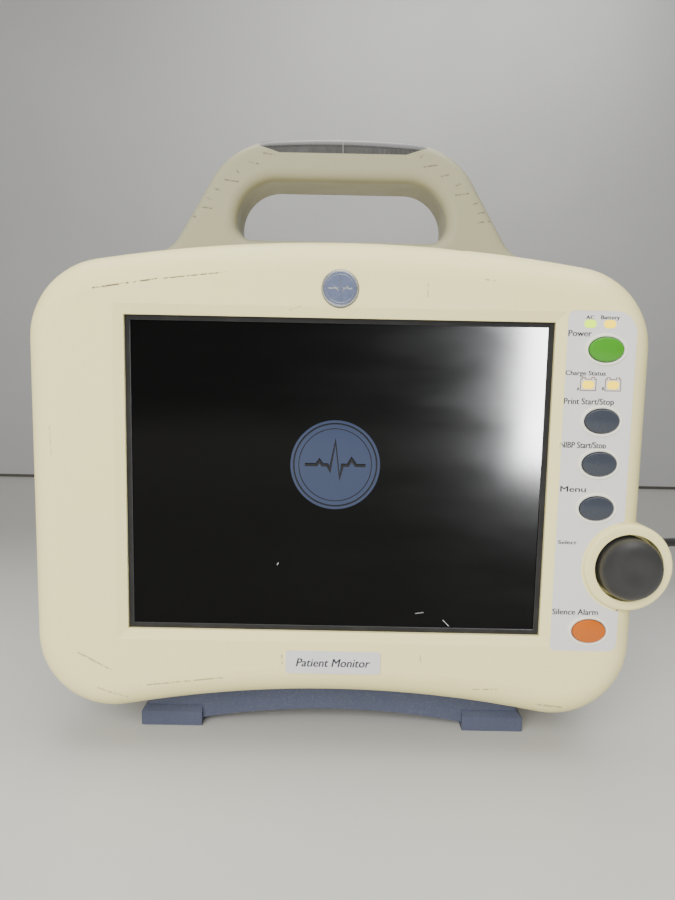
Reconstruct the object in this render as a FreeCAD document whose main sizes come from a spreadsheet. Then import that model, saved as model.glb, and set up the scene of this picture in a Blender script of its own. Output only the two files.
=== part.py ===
"""Bedside patient monitor: a display with a carrying handle, a strip recorder and two battery packs.

Model frame while drawing: X to the right, Y back from the screen aperture's plane, Z up from the table.
Every sub-part gets the same shift at the end, which puts the origin at the bottom centre of the object.
"""

import FreeCAD, Part

import math
import os
import re

import Sketcher

from FreeCAD import Placement, Rotation, Vector

# ---------------------------------------------------------------- driving dimensions, millimetres

DIMENSIONS = {
    # screen aperture, whose centre is the drawing's centre line
    "screen_wide": 174,
    "screen_tall": 131,
    "screen_high": 121.5,
    # case outline, seen from the front, about the aperture's centre
    "case_half": 129,
    "crown_rise": 97,
    "crown_radius": 619,
    "top_corner": 34,
    "arch_drop": 95.2,
    "arch_radius": 480,
    "low_corner": 33,
    # case, front to back
    "face_front": -3,
    "seam_back": 26,
    "case_back": 180,
    "face_round": 14,
    "rear_round": 16,
    "wall": 3,
    "lip": 0.6,
    # facet round the aperture
    "facet_wide": 4.2,
    "facet_deep": 1.4,
    # key panel
    "panel_left": 91.4,
    "panel_right": 119.3,
    "panel_low": -71.2,
    "panel_top": 70.3,
    "panel_sink": 0.6,
    "overlay_thick": 0.5,
    # keys: oval, all alike
    "key_wide": 14,
    "key_tall": 9.8,
    "key_gap": 0.35,
    "key_centre": 107.2,
    "key_proud": 1.4,
    "key_travel": 1.2,
    "key_flange": 1.4,
    "flange_front": 0.3,
    "flange_wide": 1.3,
    "key_stem": 2,
    "rim_wide": 1.1,
    "rim_proud": 0.45,
    "power_level": 55,
    "print_level": 26.2,
    "pressure_level": 8.6,
    "menu_level": -9.8,
    "silence_level": -62.2,
    "switch_front": 4.7,
    "board_front": 8,
    # lights in the key panel
    "light_wide": 4.8,
    "light_tall": 3.3,
    "light_left": 100.3,
    "light_right": 108.2,
    "light_level": 65.1,
    "charge_left": 100.9,
    "charge_right": 110.9,
    "charge_level": 40.8,
    # knob and its collar
    "knob_across": 121.9,
    "knob_level": -34.5,
    "collar_radius": 18.5,
    "collar_front": -4.6,
    "collar_back": 9,
    "fairing_end": 9,
    "knob_well": 14.3,
    "well_floor": 3,
    "knob_radius": 13,
    "knob_front": -12.5,
    "knob_round": 6.5,
    "knob_travel": 1,
    "shaft_radius": 3,
    "shaft_back": 9,
    "encoder_radius": 6.5,
    "encoder_front": 5.6,
    # badge and name plate
    "badge_level": 76.9,
    "badge_radius": 7.5,
    "badge_proud": 0.9,
    "plate_level": -78.2,
    "plate_wide": 40,
    "plate_tall": 9.8,
    # handle
    "handle_front": 33,
    "handle_deep": 30,
    "handle_top": 146.6,
    "handle_wall": 2.4,
    "handle_round": 5,
    "base_half": 84,
    "knee_half": 75.2,
    "knee_level": 100.2,
    "knee_round": 18,
    "shoulder_round": 34,
    "shoulder_half": 58.7,
    "shoulder_level": 128.2,
    "top_half": 38.9,
    "top_level": 145,
    "lens_half": 37,
    "lens_low": 139.6,
    "grip_low": 128.3,
    "grip_half": 46.8,
    "grip_sill": 102.5,
    "grip_top_round": 18,
    "grip_low_round": 7,
    # cradle and feet
    "cradle_front": 24,
    "cradle_deep": 128,
    "cradle_half": 86,
    "cradle_drop": 112.8,
    "cradle_radius": 346,
    "cradle_bar": 18,
    "shoe_front": 22,
    "shoe_deep": 26,
    "shoe_in": 60.7,
    "shoe_out": 88.8,
    "shoe_slope": 2.8,
    "shoe_top": 112,
    "shoe_low": 121.3,
    "stand_hole": 2.6,
    "stand_across": 40,
    "pad_high": 1,
    # side openings
    "door_low": 0,
    "door_tall": 66,
    "door_front": 52,
    "door_deep": 68,
    "door_gap": 0.5,
    "hatch_low": -90,
    "hatch_tall": 46,
    "hatch_front": 50,
    "hatch_deep": 96,
    "socket_front": 52,
    "socket_deep": 98,
    "socket_level": 25,
    "socket_tall": 92,
    # opening in the back for the ports
    "outlet_across": 5,
    "outlet_level": -61.5,
    "outlet_wide": 178,
    "outlet_tall": 44,
    # ports in the back panel
    "port_level": -60,
    "network_across": 25,
    "aux_across": -12,
    "stud_across": -50,
    # speaker and cuff pump
    "speaker_across": -48.2,
    "speaker_front": 95,
    "speaker_level": -92.6,
    "speaker_radius": 16,
    "pump_across": -80,
    # strip recorder
    "roll_across": 98,
    "roll_level": 25,
    "roll_radius": 20,
    "roll_core": 6,
    "paper_wide": 50,
    "roll_front": 61,
    "platen_across": 117,
    "platen_level": 57,
    "platen_radius": 5,
    "latch_level": 59,
    # mains lead
    "inlet_across": 65,
    "inlet_level": 60,
    "cord_radius": 3.5,
    "coil_inner": 28,
    "coil_outer": 56,
    "coil_across": 480,
    "coil_back": 215,
    # shift from the drawing's frame to the row's frame
    "shift_across": -6.2,
    "shift_back": -87.5,
}

# Plain blocks inside the case: middle across, front, middle above the centre, width, depth, height
BLOCKS = {
    "display_window": (0, 0.8, 0, 180, 2, 137),
    "lcd_panel": (0, 2.8, 0, 184, 8.4, 145),
    "chassis_frame": (-6, 15, -2, 206, 1.5, 154),
    "main_board": (-30, 24.5, -2, 130, 1.6, 140),
    "patient_module": (-93, 58, 25, 56, 84, 88),
    "print_head": (105.6, 62, 56.8, 11, 50, 11),
    "battery_a": (45, 53, -77.5, 149, 89, 20),
    "battery_b": (45, 53, -56, 149, 89, 20),
}
for block_name, values in BLOCKS.items():
    for suffix, value in zip(("across", "front", "level", "wide", "deep", "tall"), values):
        DIMENSIONS[f"{block_name}_{suffix}"] = value

OUT = "parts"
TINY = 1e-6

doc = FreeCAD.newDocument("patient_monitor")
sheet = doc.addObject("Spreadsheet::Sheet", "dims")
for row, (word, value) in enumerate(DIMENSIONS.items(), start=1):
    sheet.set(f"A{row}", word)
    sheet.set(f"B{row}", str(value))
    sheet.setAlias(f"B{row}", word)
doc.recompute()

WORDS = re.compile(r"\b(" + "|".join(sorted(DIMENSIONS, key=len, reverse=True)) + r")\b")
parts = {}

# ---------------------------------------------------------------- helpers


def tied(text):
    """An expression of the aliases, written as FreeCAD reads it."""
    return WORDS.sub(r"dims.\1", str(text))


def size(text):
    """The value in millimetres of an expression of the aliases."""
    return float(sheet.evalExpression(tied(text)))


def bind(target, prop, text):
    """Ties a property to an expression of the aliases."""
    target.setExpression(prop, tied(text))


def put(target, across, back, up):
    """Ties where an object's own origin stands."""
    for axis, text in zip("xyz", (across, back, up)):
        bind(target, f"Placement.Base.{axis}", text)
    return target


TURNS = {
    "X": Rotation(Vector(0, 1, 0), 90),
    "Y": Rotation(Vector(1, 0, 0), -90),
    "Z": Rotation(),
    "-X": Rotation(Vector(0, 1, 0), -90),
    "-Y": Rotation(Vector(1, 0, 0), 90),
    "-Z": Rotation(Vector(1, 0, 0), 180),
}


def block(across, back, up, wide, deep, tall, name="block"):
    """A box, by the middle of its front's width and height, and by its front."""
    made = doc.addObject("Part::Box", name)
    bind(made, "Length", wide)
    bind(made, "Width", deep)
    bind(made, "Height", tall)
    return put(made, f"({across}) - ({wide}) / 2", back, f"({up}) - ({tall}) / 2")


def rod(across, back, up, radius, length, way="Y", name="rod"):
    """A cylinder that starts at a point and runs one of the ways of TURNS."""
    made = doc.addObject("Part::Cylinder", name)
    made.Placement = Placement(Vector(), TURNS[way])
    bind(made, "Radius", radius)
    bind(made, "Height", length)
    return put(made, across, back, up)


def join(shapes, name="join"):
    """One solid out of pieces that touch or overlap."""
    made = doc.addObject("Part::MultiFuse", name)
    made.Shapes = list(shapes)
    made.Refine = True
    return made


def group(shapes, name="group"):
    """Separate solids kept side by side in one object."""
    made = doc.addObject("Part::Compound", name)
    made.Links = list(shapes)
    return made


def cut(base, tools, name="cut"):
    """base less one tool or several."""
    tools = list(tools) if isinstance(tools, (list, tuple)) else [tools]
    made = doc.addObject("Part::Cut", name)
    made.Base = base
    made.Tool = tools[0] if len(tools) == 1 else join(tools, name + "_tools")
    return made


def carve(base, tools, name="carve"):
    """base less each tool in turn."""
    for tool in tools:
        base = cut(base, tool, name)
    return base


def meet(base, tool, name="meet"):
    """What two solids share."""
    made = doc.addObject("Part::Common", name)
    made.Base = base
    made.Tool = tool
    return made


def fixed(shape, name="fixed"):
    """A shape that part.py works out itself."""
    made = doc.addObject("Part::Feature", name)
    made.Shape = shape
    return made


def runs(edge, axis):
    """Whether an edge is straight and parallel to an axis."""
    box = edge.BoundBox
    spans = {"X": box.XLength, "Y": box.YLength, "Z": box.ZLength}
    return spans[axis] > TINY and all(spans[other] < TINY for other in "XYZ" if other != axis)


def lies(edge, axis, where):
    """Whether a whole edge lies in the plane where the axis has one value."""
    box = edge.BoundBox
    low, high = {"X": (box.XMin, box.XMax), "Y": (box.YMin, box.YMax), "Z": (box.ZMin, box.ZMax)}[axis]
    return abs(low - size(where)) < 0.01 and abs(high - size(where)) < 0.01


def rounded(base, radius_of, name="rounded", kind="Part::Fillet"):
    """base with each edge rounded by what radius_of gives for it, and left alone where that is None."""
    doc.recompute()
    picked = [(i, radius_of(edge)) for i, edge in enumerate(base.Shape.Edges, 1)]
    made = doc.addObject(kind, name)
    made.Base = base
    made.Edges = [(i, size(radius), size(radius)) for i, radius in picked if radius is not None]
    return made


def plate(across, back, up, wide, deep, tall, radius, axis="Y", name="plate"):
    """A block whose four edges along one axis are rounded."""
    return rounded(
        block(across, back, up, wide, deep, tall, name), lambda e: radius if runs(e, axis) else None, name
    )


def oval(across, back, up, wide, deep, tall, name="oval"):
    """An elliptical prism along Y."""
    ring = doc.addObject("Part::Ellipse", name + "_ring")
    ring.Placement = Placement(Vector(), TURNS["Y"])
    bind(ring, "MajorRadius", f"({wide}) / 2")
    bind(ring, "MinorRadius", f"({tall}) / 2")
    put(ring, across, back, up)
    made = doc.addObject("Part::Extrusion", name)
    made.Base = ring
    made.DirMode = "Custom"
    made.Dir = Vector(0, 1, 0)
    bind(made, "LengthFwd", deep)
    made.Solid = True
    return made


def level(text):
    """A height above the table, given from the aperture's centre."""
    return f"screen_high + ({text})"


def part(label, made):
    """Names a finished sub-part and moves it from the drawing's frame to the row's."""
    made.Label = label
    had = {path.lstrip("."): text for path, text in made.ExpressionEngine}
    for axis, shift in (("x", "dims.shift_across"), ("y", "dims.shift_back")):
        path = f"Placement.Base.{axis}"
        made.setExpression(path, f"({had[path]}) + {shift}" if path in had else shift)
    parts[label] = made
    return made


# PartDesign bodies: a sketch stands at the middle of what it draws.


def new_body(name):
    return doc.addObject("PartDesign::Body", name)


def sketch_on(body, role, across=0, back=0, up=0):
    """A sketch on one of the body's own planes, its origin moved to a point."""
    plane = next(p for p in body.Origin.OriginFeatures if p.Role == role)
    made = body.newObject("Sketcher::SketchObject", "sketch")
    made.AttachmentSupport = (plane, [""])
    made.MapMode = "FlatFace"
    local = {
        "XY_Plane": (across, back, up),
        "XZ_Plane": (across, up, f"-({back})"),
        "YZ_Plane": (back, up, across),
    }[role]
    for axis, text in zip("xyz", local):
        bind(made, f"AttachmentOffset.Base.{axis}", text)
    return made


def anticlockwise(edge):
    """The same arc about +Z, because a sketch takes an arc's start and end that way round."""
    if isinstance(edge, Part.LineSegment):
        return edge
    circle = edge.toShape().Curve
    centre, ends = circle.Center, [edge.StartPoint, edge.EndPoint]
    if circle.Axis.z < 0:
        ends.reverse()
    start, end = (math.atan2(p.y - centre.y, p.x - centre.x) for p in ends)
    if end < start:
        end += 2 * math.pi
    return Part.ArcOfCircle(Part.Circle(centre, Vector(0, 0, 1), circle.Radius), start, end)


def closed(sketch, edges):
    """Adds edges that follow each other round a closed outline, and joins their ends."""
    first = sketch.GeometryCount
    edges = [anticlockwise(e) for e in edges]
    sketch.addGeometry(edges, False)
    ends = [(e.StartPoint, e.EndPoint) for e in edges]
    count = len(edges)
    for i in range(count):
        j = (i + 1) % count
        pairs = [(a, b) for a in (0, 1) for b in (0, 1) if (ends[i][a] - ends[j][b]).Length < 1e-4]
        a, b = pairs[-1] if count > 2 else pairs[i]
        sketch.addConstraint(Sketcher.Constraint("Coincident", first + i, a + 1, first + j, b + 1))
    return sketch


def pad(body, sketch, length):
    """Pads a sketch on the XZ plane towards the back."""
    made = body.newObject("PartDesign::Pad", "pad")
    made.Profile = sketch
    bind(made, "Length", length)
    made.Reversed = True
    doc.recompute()
    return made


def round_edges(body, base, chosen, radius):
    """A PartDesign fillet on the edges that chosen picks."""
    names = [f"Edge{i}" for i, edge in enumerate(base.Shape.Edges, 1) if chosen(edge)]
    made = body.newObject("PartDesign::Fillet", "fillet")
    made.Base = (base, names)
    bind(made, "Radius", radius)
    doc.recompute()
    return made


def prism(name, points, front, deep, up="screen_high"):
    """A PartDesign pad of a closed polygon in the front view, given from the aperture's centre."""
    body = new_body(name)
    sketch = sketch_on(body, "XZ_Plane", 0, front, up)
    corners = [Vector(x, z, 0) for x, z in points]
    closed(sketch, [Part.LineSegment(p, q) for p, q in zip(corners, corners[1:] + corners[:1])])
    pad(body, sketch, deep)
    return body


def turned(name, edges, across, up):
    """A PartDesign revolution about a line along Y. The edges are drawn as (back, radius)."""
    body = new_body(name)
    sketch = sketch_on(body, "YZ_Plane", across, 0, up)
    closed(sketch, edges)
    doc.recompute()
    made = body.newObject("PartDesign::Revolution", "revolution")
    made.Profile = sketch
    made.ReferenceAxis = (sketch, ["H_Axis"])
    made.Angle = 360
    doc.recompute()
    return body


def ring_edges(points):
    """Straight edges round a closed profile."""
    corners = [Vector(a, b, 0) for a, b in points]
    return [Part.LineSegment(p, q) for p, q in zip(corners, corners[1:] + corners[:1])]


# ---------------------------------------------------------------- case


def case_outline(inset):
    """The case from the front: a crown arc, two top corners, straight sides, two low corners and an arch.

    Neighbouring pieces are tangent, so each corner's centre is where a circle of its radius touches both.
    """
    half = size("case_half") - inset
    crown, top = size("crown_radius") - inset, size("top_corner") - inset
    arch, low = size("arch_radius") + inset, size("low_corner") - inset
    crown_z = size("crown_rise - crown_radius")
    arch_z = size("-arch_drop - arch_radius")
    top_z = crown_z + math.sqrt((crown - top) ** 2 - (half - top) ** 2)
    low_z = arch_z + math.sqrt((arch + low) ** 2 - (half - low) ** 2)
    top_turn = math.atan2(top_z - crown_z, half - top)
    low_turn = math.atan2(low_z - arch_z, half - low)

    def arc(x, z, radius, start, end):
        return Part.ArcOfCircle(Part.Circle(Vector(x, z, 0), Vector(0, 0, 1), radius), start, end)

    return [
        arc(0, crown_z, crown, top_turn, math.pi - top_turn),
        arc(top - half, top_z, top, math.pi - top_turn, math.pi),
        Part.LineSegment(Vector(-half, top_z, 0), Vector(-half, low_z, 0)),
        arc(low - half, low_z, low, math.pi, 2 * math.pi - low_turn),
        arc(0, arch_z, arch, low_turn, math.pi - low_turn),
        arc(half - low, low_z, low, math.pi + low_turn, 2 * math.pi),
        Part.LineSegment(Vector(half, low_z, 0), Vector(half, top_z, 0)),
        arc(half - top, top_z, top, 0, top_turn),
    ]


def case_solid(name, inset, front, back, end, radius):
    """A solid of the case's outline from front to back, with one end's edge rounded."""
    body = new_body(name)
    sketch = sketch_on(body, "XZ_Plane", 0, front, "screen_high")
    closed(sketch, case_outline(size(inset)))
    slab = pad(body, sketch, f"({back}) - ({front})")
    round_edges(body, slab, lambda e: lies(e, "Y", end), radius)
    return body


front_outer = case_solid("front_outer", "0", "face_front", "seam_back", "face_front", "face_round")
front_inner = case_solid(
    "front_inner", "wall", "face_front + wall", "seam_back + 1", "face_front + wall", "face_round - wall"
)
rear_outer = case_solid("rear_outer", "-lip", "seam_back", "case_back", "case_back", "rear_round")
rear_inner = case_solid(
    "rear_inner", "wall - lip", "seam_back - 1", "case_back - wall", "case_back - wall", "rear_round - wall"
)

# The case without its hollow, for cutting what stands against it
case_whole = [front_outer, rear_outer]

KEYS = {
    "power_button": "power_level",
    "print_button": "print_level",
    "pressure_button": "pressure_level",
    "menu_button": "menu_level",
    "silence_button": "silence_level",
}
LIGHTS = [
    ("light_left", "light_level"),
    ("light_right", "light_level"),
    ("charge_left", "charge_level"),
    ("charge_right", "charge_level"),
]
knob_up = level("knob_level")


def panel_slab(front, deep, name):
    """The key panel's outline: a tall plate with four different corners, notched round the collar."""
    slab = block(
        "(panel_left + panel_right) / 2", front, level("(panel_low + panel_top) / 2"),
        "panel_right - panel_left", deep, "panel_top - panel_low", name,
    )
    middle = size("(panel_left + panel_right) / 2"), size(level("(panel_low + panel_top) / 2"))
    corners = {(False, True): "3", (True, True): "9", (True, False): "4", (False, False): "2"}

    def corner(edge):
        if not runs(edge, "Y"):
            return None
        at = edge.CenterOfMass
        return corners[(at.x > middle[0], at.z > middle[1])]

    notch = rod("knob_across", f"({front}) - 1", knob_up, "collar_radius + 0.8", f"({deep}) + 2")
    return cut(rounded(slab, corner, name), notch, name)


def key_holes(front, deep):
    """The oval holes of every key, each a little larger than its key."""
    wide, tall = "key_wide + 2 * key_gap", "key_tall + 2 * key_gap"
    return [oval("key_centre", front, level(up), wide, deep, tall, "key_hole") for up in KEYS.values()]


def light_holes(front, deep):
    """The long round-ended holes of the status lights."""
    wide, tall, end = "light_wide", "light_tall", "light_tall / 2.2"
    return [plate(across, front, level(up), wide, deep, tall, end) for across, up in LIGHTS]


def facet():
    """The frustum that the sloping facet round the aperture removes."""
    body = new_body("facet")
    sketch = sketch_on(body, "XZ_Plane", 0, "face_front + facet_deep", "screen_high")
    half_x, half_z = size("screen_wide / 2"), size("screen_tall / 2")
    closed(sketch, ring_edges([(-half_x, -half_z), (half_x, -half_z), (half_x, half_z), (-half_x, half_z)]))
    made = body.newObject("PartDesign::Pad", "pad")
    made.Profile = sketch
    bind(made, "Length", "facet_deep")
    made.TaperAngle = math.degrees(math.atan2(size("facet_wide"), size("facet_deep")))
    doc.recompute()
    return body


collar = rounded(
    rod("knob_across", "collar_front", knob_up, "collar_radius", "collar_back - collar_front"),
    lambda e: "1.6" if lies(e, "Y", "collar_front") else None,
    "collar",
)
fairing = doc.addObject("Part::Cone", "fairing")
fairing.Placement = Placement(Vector(), TURNS["Y"])
bind(fairing, "Radius1", "collar_radius")
bind(fairing, "Radius2", "fairing_end")
bind(fairing, "Height", "seam_back - collar_back - 0.2")
put(fairing, "knob_across", "collar_back", knob_up)
bezel_tools = [
    block(0, "face_front - 1", "screen_high", "screen_wide", 12, "screen_tall", "aperture"),
    facet(),
    panel_slab("face_front - 1", "1 + panel_sink", "panel_pocket"),
    rod("knob_across", "collar_front - 1", knob_up, "knob_well", "well_floor - collar_front + 1"),
    rod("knob_across", "well_floor - 1", knob_up, "shaft_radius + 0.4", 6),
    rod("knob_across", "encoder_front", knob_up, "encoder_radius + 0.5", "seam_back"),
    rod(0, "face_front - 1", level("badge_level"), "badge_radius + 0.1", 1.6, name="badge_pocket"),
    *key_holes("face_front - 1", 8),
    *light_holes("face_front - 1", 8),
]
bezel_shell = cut(front_outer, front_inner, "bezel_shell")
part("front_bezel", cut(join([bezel_shell, collar, fairing], "bezel_full"), bezel_tools, "front_bezel"))

rims = [
    cut(
        oval(
            "key_centre", "face_front + panel_sink - overlay_thick - rim_proud", level(up),
            "key_wide + 2 * (key_gap + rim_wide)", "rim_proud + overlay_thick / 2",
            "key_tall + 2 * (key_gap + rim_wide)", "rim",
        ),
        key_holes("face_front - 3", 8)[i],
        "rim",
    )
    for i, up in enumerate(KEYS.values())
]
overlay_front = "face_front + panel_sink - overlay_thick"
part(
    "keypad_overlay",
    cut(
        join([panel_slab(overlay_front, "overlay_thick", "overlay"), *rims], "overlay_full"),
        [*key_holes("face_front - 3", 8), *light_holes("face_front - 3", 8)],
        "keypad_overlay",
    ),
)

# ---------------------------------------------------------------- keys, lights and knob

for name, up in KEYS.items():
    cap = oval(
        "key_centre", "face_front - key_proud", level(up), "key_wide",
        "key_flange - face_front + key_proud", "key_tall", name + "_cap",
    )
    cap = rounded(cap, lambda e: "1.2" if lies(e, "Y", "face_front - key_proud") else None, name + "_cap")
    flange = oval(
        "key_centre", "flange_front", level(up), "key_wide + 2 * flange_wide",
        "key_flange - flange_front", "key_tall + 2 * flange_wide", "flange",
    )
    stem_end = "switch_front - key_travel - 0.1"
    stem = rod("key_centre", "key_flange - 0.2", level(up), "key_stem", f"{stem_end} - key_flange + 0.2")
    part(name, join([cap, flange, stem], name))

part(
    "status_light_pipes",
    group(
        [
            plate(
                across, "face_front - 0.1", level(up), "light_wide - 0.1", "board_front - face_front + 0.1",
                "light_tall - 0.1", "light_tall / 2.4", name="light_pipe",
            )
            for across, up in LIGHTS
        ],
        "status_light_pipes",
    ),
)
board = cut(
    block(107.8, "board_front", level(0), 27, 1.6, 142, "board"),
    rod("knob_across", 0, knob_up, "collar_radius + 2.4", 30, name="board_notch"),
    "board_notched",
)
switches = [
    block("key_centre", "switch_front", level(up), 6, "board_front - switch_front + 0.1", 6, "switch")
    for up in KEYS.values()
]
part("button_board", join([board, *switches], "button_board"))

reach, outer, curve = size("knob_front"), size("knob_radius"), size("knob_round")
knob_back = size("well_floor - knob_travel - 0.6")
bore = size("shaft_radius")
shoulder = Part.ArcOfCircle(
    Part.Circle(Vector(reach + curve, outer - curve, 0), Vector(0, 0, 1), curve), math.pi / 2, math.pi
)
dish = Part.Arc(Vector(reach + 0.7, 0, 0), Vector(reach + 0.52, 3, 0), Vector(reach, 6, 0))
knob_walls = [
    (reach, outer - curve), (reach, 6), (reach + 0.7, 0), (reach + 4, 0), (reach + 4, bore),
    (knob_back, bore), (knob_back, outer), (reach + curve, outer),
]
lines = [Part.LineSegment(Vector(*p, 0), Vector(*q, 0)) for p, q in zip(knob_walls, knob_walls[1:])]
lines[1] = dish
knob_body = turned("knob_body", [*lines, shoulder], "knob_across", knob_up)
part("select_knob", knob_body)
shaft_front = "knob_front + 4"
encoder_shaft = rod("knob_across", shaft_front, knob_up, "shaft_radius", f"shaft_back - ({shaft_front})")
part("encoder_shaft", encoder_shaft)
part("encoder_plunger", rod("knob_across", "shaft_back", knob_up, 2.6, 1.8))
part(
    "encoder_body",
    cut(
        rod("knob_across", "encoder_front", knob_up, "encoder_radius", 9, name="encoder_can"),
        rod("knob_across", "encoder_front - 1", knob_up, "shaft_radius + 0.4", 7.6, name="encoder_bore"),
        "encoder_body",
    ),
)

# ---------------------------------------------------------------- display

part(
    "display_gasket",
    cut(
        block(0, 0, "screen_high", "display_window_wide", "display_window_front", "display_window_tall"),
        block(0, -1, "screen_high", "screen_wide - 4", 4, "screen_tall - 4"),
        "display_gasket",
    ),
)
for name in BLOCKS:
    solid = block(
        f"{name}_across", f"{name}_front", level(f"{name}_level"),
        f"{name}_wide", f"{name}_deep", f"{name}_tall", name,
    )
    part(name, solid)

# ---------------------------------------------------------------- badge and plate

part(
    "badge_disc",
    rounded(
        rod(0, "face_front - badge_proud", level("badge_level"), "badge_radius", 1.5, name="badge"),
        lambda e: "0.6" if lies(e, "Y", "face_front - badge_proud") else None,
        "badge_disc",
    ),
)
name_plate = plate(0, "face_front - 0.6", level("plate_level"), "plate_wide", 0.6, "plate_tall", 0.9)
part("name_plate", name_plate)

# ---------------------------------------------------------------- handle


def handle_profile():
    """The handle from the front: a foot and a slope on each side, under one shallow top arc."""
    foot = Vector(-size("base_half + 8"), 90, 0)
    knee = Vector(-size("knee_half"), size("knee_level"), 0)
    low = Vector(-size("shoulder_half"), size("shoulder_level"), 0)
    crest = Vector(0, size("handle_top"), 0)
    curve = size("(top_half ^ 2) / (2 * (handle_top - top_level))")
    slope = (low - knee).normalize()
    run = 0
    for _ in range(20):
        corner = low + slope * run
        run = (crest.z + size("handle_top") - corner.x**2 / (2 * curve) - low.y) / slope.y
    corner = low + slope * run
    other = [Vector(-p.x, p.y, 0) for p in (corner, knee, foot)]
    return [
        Part.LineSegment(foot, knee),
        Part.LineSegment(knee, corner),
        Part.Arc(corner, crest, other[0]),
        Part.LineSegment(other[0], other[1]),
        Part.LineSegment(other[1], other[2]),
        Part.LineSegment(other[2], foot),
    ]


grip_middle = level("(grip_low + grip_sill) / 2")
handle_body = new_body("handle_outer")
handle_sketch = sketch_on(handle_body, "XZ_Plane", 0, "handle_front", "screen_high")
closed(handle_sketch, handle_profile())
pad(handle_body, handle_sketch, "handle_deep")


def shoulder_round(edge):
    """The rounding of the handle's corners: wide at the shoulders, smaller at the knees."""
    if not runs(edge, "Y") or edge.CenterOfMass.z < size(level("95")):
        return None
    return "shoulder_round" if edge.CenterOfMass.z > size(level("shoulder_level")) else "knee_round"


def grip_round(edge):
    """The rounding of the finger opening's corners: wide at the top, smaller at the sill."""
    if not runs(edge, "Y"):
        return None
    return "grip_top_round" if edge.CenterOfMass.z > size(grip_middle) else "grip_low_round"


grip_block = block(
    0, "handle_front - 1", grip_middle, "2 * grip_half", "handle_deep + 2", "grip_low - grip_sill", "grip"
)
grip_hole = rounded(grip_block, grip_round, "grip_hole")
handle_flat = cut(rounded(handle_body, shoulder_round, "handle_slab"), grip_hole, "handle_flat")


def handle_rim(edge):
    """The outlines of the handle's two faces, except where they are buried in the case."""
    flat = lies(edge, "Y", "handle_front") or lies(edge, "Y", "handle_front + handle_deep")
    return "handle_round" if flat and edge.BoundBox.ZMax > size(level("95")) else None


handle_outer = rounded(handle_flat, handle_rim, "handle_outer")
doc.recompute()
flat_face = next(face for face in handle_flat.Shape.Faces if lies(face, "Y", "handle_front"))
hollow_face = flat_face.makeOffset2D(-size("handle_wall"))
hollow_face.translate(Vector(0, size("handle_wall"), 0))
hollow_deep = size("handle_deep - 2 * handle_wall")
handle_hollow = fixed(hollow_face.extrude(Vector(0, hollow_deep, 0)), "handle_hollow")


def lens_prism(side, name):
    """Half of the lens from the front: half a boat, from its keel on the middle plane to its outer end."""
    half, keel = size("lens_half"), size("lens_low")
    points = [(0.1, keel), (0.757 * half, keel), (half, keel + 3), (half, keel + 15), (0.1, keel + 15)]
    return prism(name, [(side * x, z) for x, z in points], "handle_front - 1", "handle_deep + 2")


lens_left = lens_prism(-1, "lens_left_prism")
lens_right = lens_prism(1, "lens_right_prism")
lens_middle = block(0, "handle_front - 1", level("lens_low + 7.5"), 0.2, "handle_deep + 2", 15, "lens_split")
handle_shell = carve(
    handle_outer, [*case_whole, handle_hollow, lens_left, lens_right, lens_middle], "handle_shell"
)
half_deep = "handle_deep / 2 + 1"
for name, half_front in (
    ("handle_front_shell", "handle_front - 1"),
    ("handle_rear_shell", "handle_front + handle_deep / 2"),
):
    half_zone = block(0, half_front, level(120), 240, half_deep, 80, name + "_zone")
    part(name, meet(handle_shell, half_zone, name))
part("alarm_lens_left", cut(meet(handle_outer, lens_left, "lens_left"), handle_hollow, "alarm_lens_left"))
part("alarm_lens_right", cut(meet(handle_outer, lens_right, "lens_right"), handle_hollow, "alarm_lens_right"))
lamp_board = block(0, "handle_front + handle_wall", level(135), 60, "handle_deep - 2 * handle_wall", 1.6)
lamps = [block(x, "handle_front + 12", level(137.2), 5, 5, 3, "lamp") for x in (-26, -14, 14, 26)]
part("alarm_light_board", join([lamp_board, *lamps], "alarm_light_board"))

# ---------------------------------------------------------------- cradle and feet

arch_up = level("-cradle_drop - cradle_radius")
arch_tool = rod(0, "cradle_front - 1", arch_up, "cradle_radius", "cradle_deep + 2")
rail_middle = "(shoe_in + cradle_half) / 2"
cradle_blocks = [
    block(0, front, level(-104), "2 * shoe_in", "cradle_bar", 30, "bar")
    for front in ("cradle_front", "cradle_front + cradle_deep - cradle_bar")
]
cradle_blocks += [
    block(
        f"{side} * {rail_middle}", "cradle_front", level("-(shoe_top + 90) / 2"), "cradle_half - shoe_in",
        "cradle_deep", "shoe_top - 90", "rail",
    )
    for side in (-1, 1)
]
stand_holes = [
    rod(f"{side} * stand_across", back, level(-120), "stand_hole", 14, "Z", "stand_bore")
    for side in (-1, 1)
    for back in ("cradle_front + cradle_bar / 2", "cradle_front + cradle_deep - cradle_bar / 2")
]
FEET = {"front_feet": "shoe_front", "rear_feet": "cradle_front + cradle_deep + 2 - shoe_deep"}
shoe_z = level("-(shoe_low + shoe_top) / 2")
pads = []


def foot(name, side, front):
    """A shoe with its outer upper edge and its end's upper edge sloped, and a pocket for its pad."""
    across = f"{side} * (shoe_in + shoe_out) / 2"
    shoe = block(across, front, shoe_z, "shoe_out - shoe_in", "shoe_deep", "shoe_low - shoe_top", "shoe")
    end = size("shoe_front") if name == "front_feet" else size("cradle_front + cradle_deep + 2")

    def slope(edge):
        at = edge.CenterOfMass
        top = abs(at.z - size(level("-shoe_top"))) < 0.01
        outer = runs(edge, "Y") and abs(abs(at.x) - size("shoe_out")) < 0.01
        cross = runs(edge, "X") and abs(at.y - end) < 0.01
        return "shoe_slope" if top and (outer or cross) else None

    pads.append(plate(across, f"({front}) + 3", "pad_high / 2", 20, 20, "pad_high", 3, "Z", "pad"))
    return cut(rounded(shoe, slope, name, "Part::Chamfer"), pads[-1], name)


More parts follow.
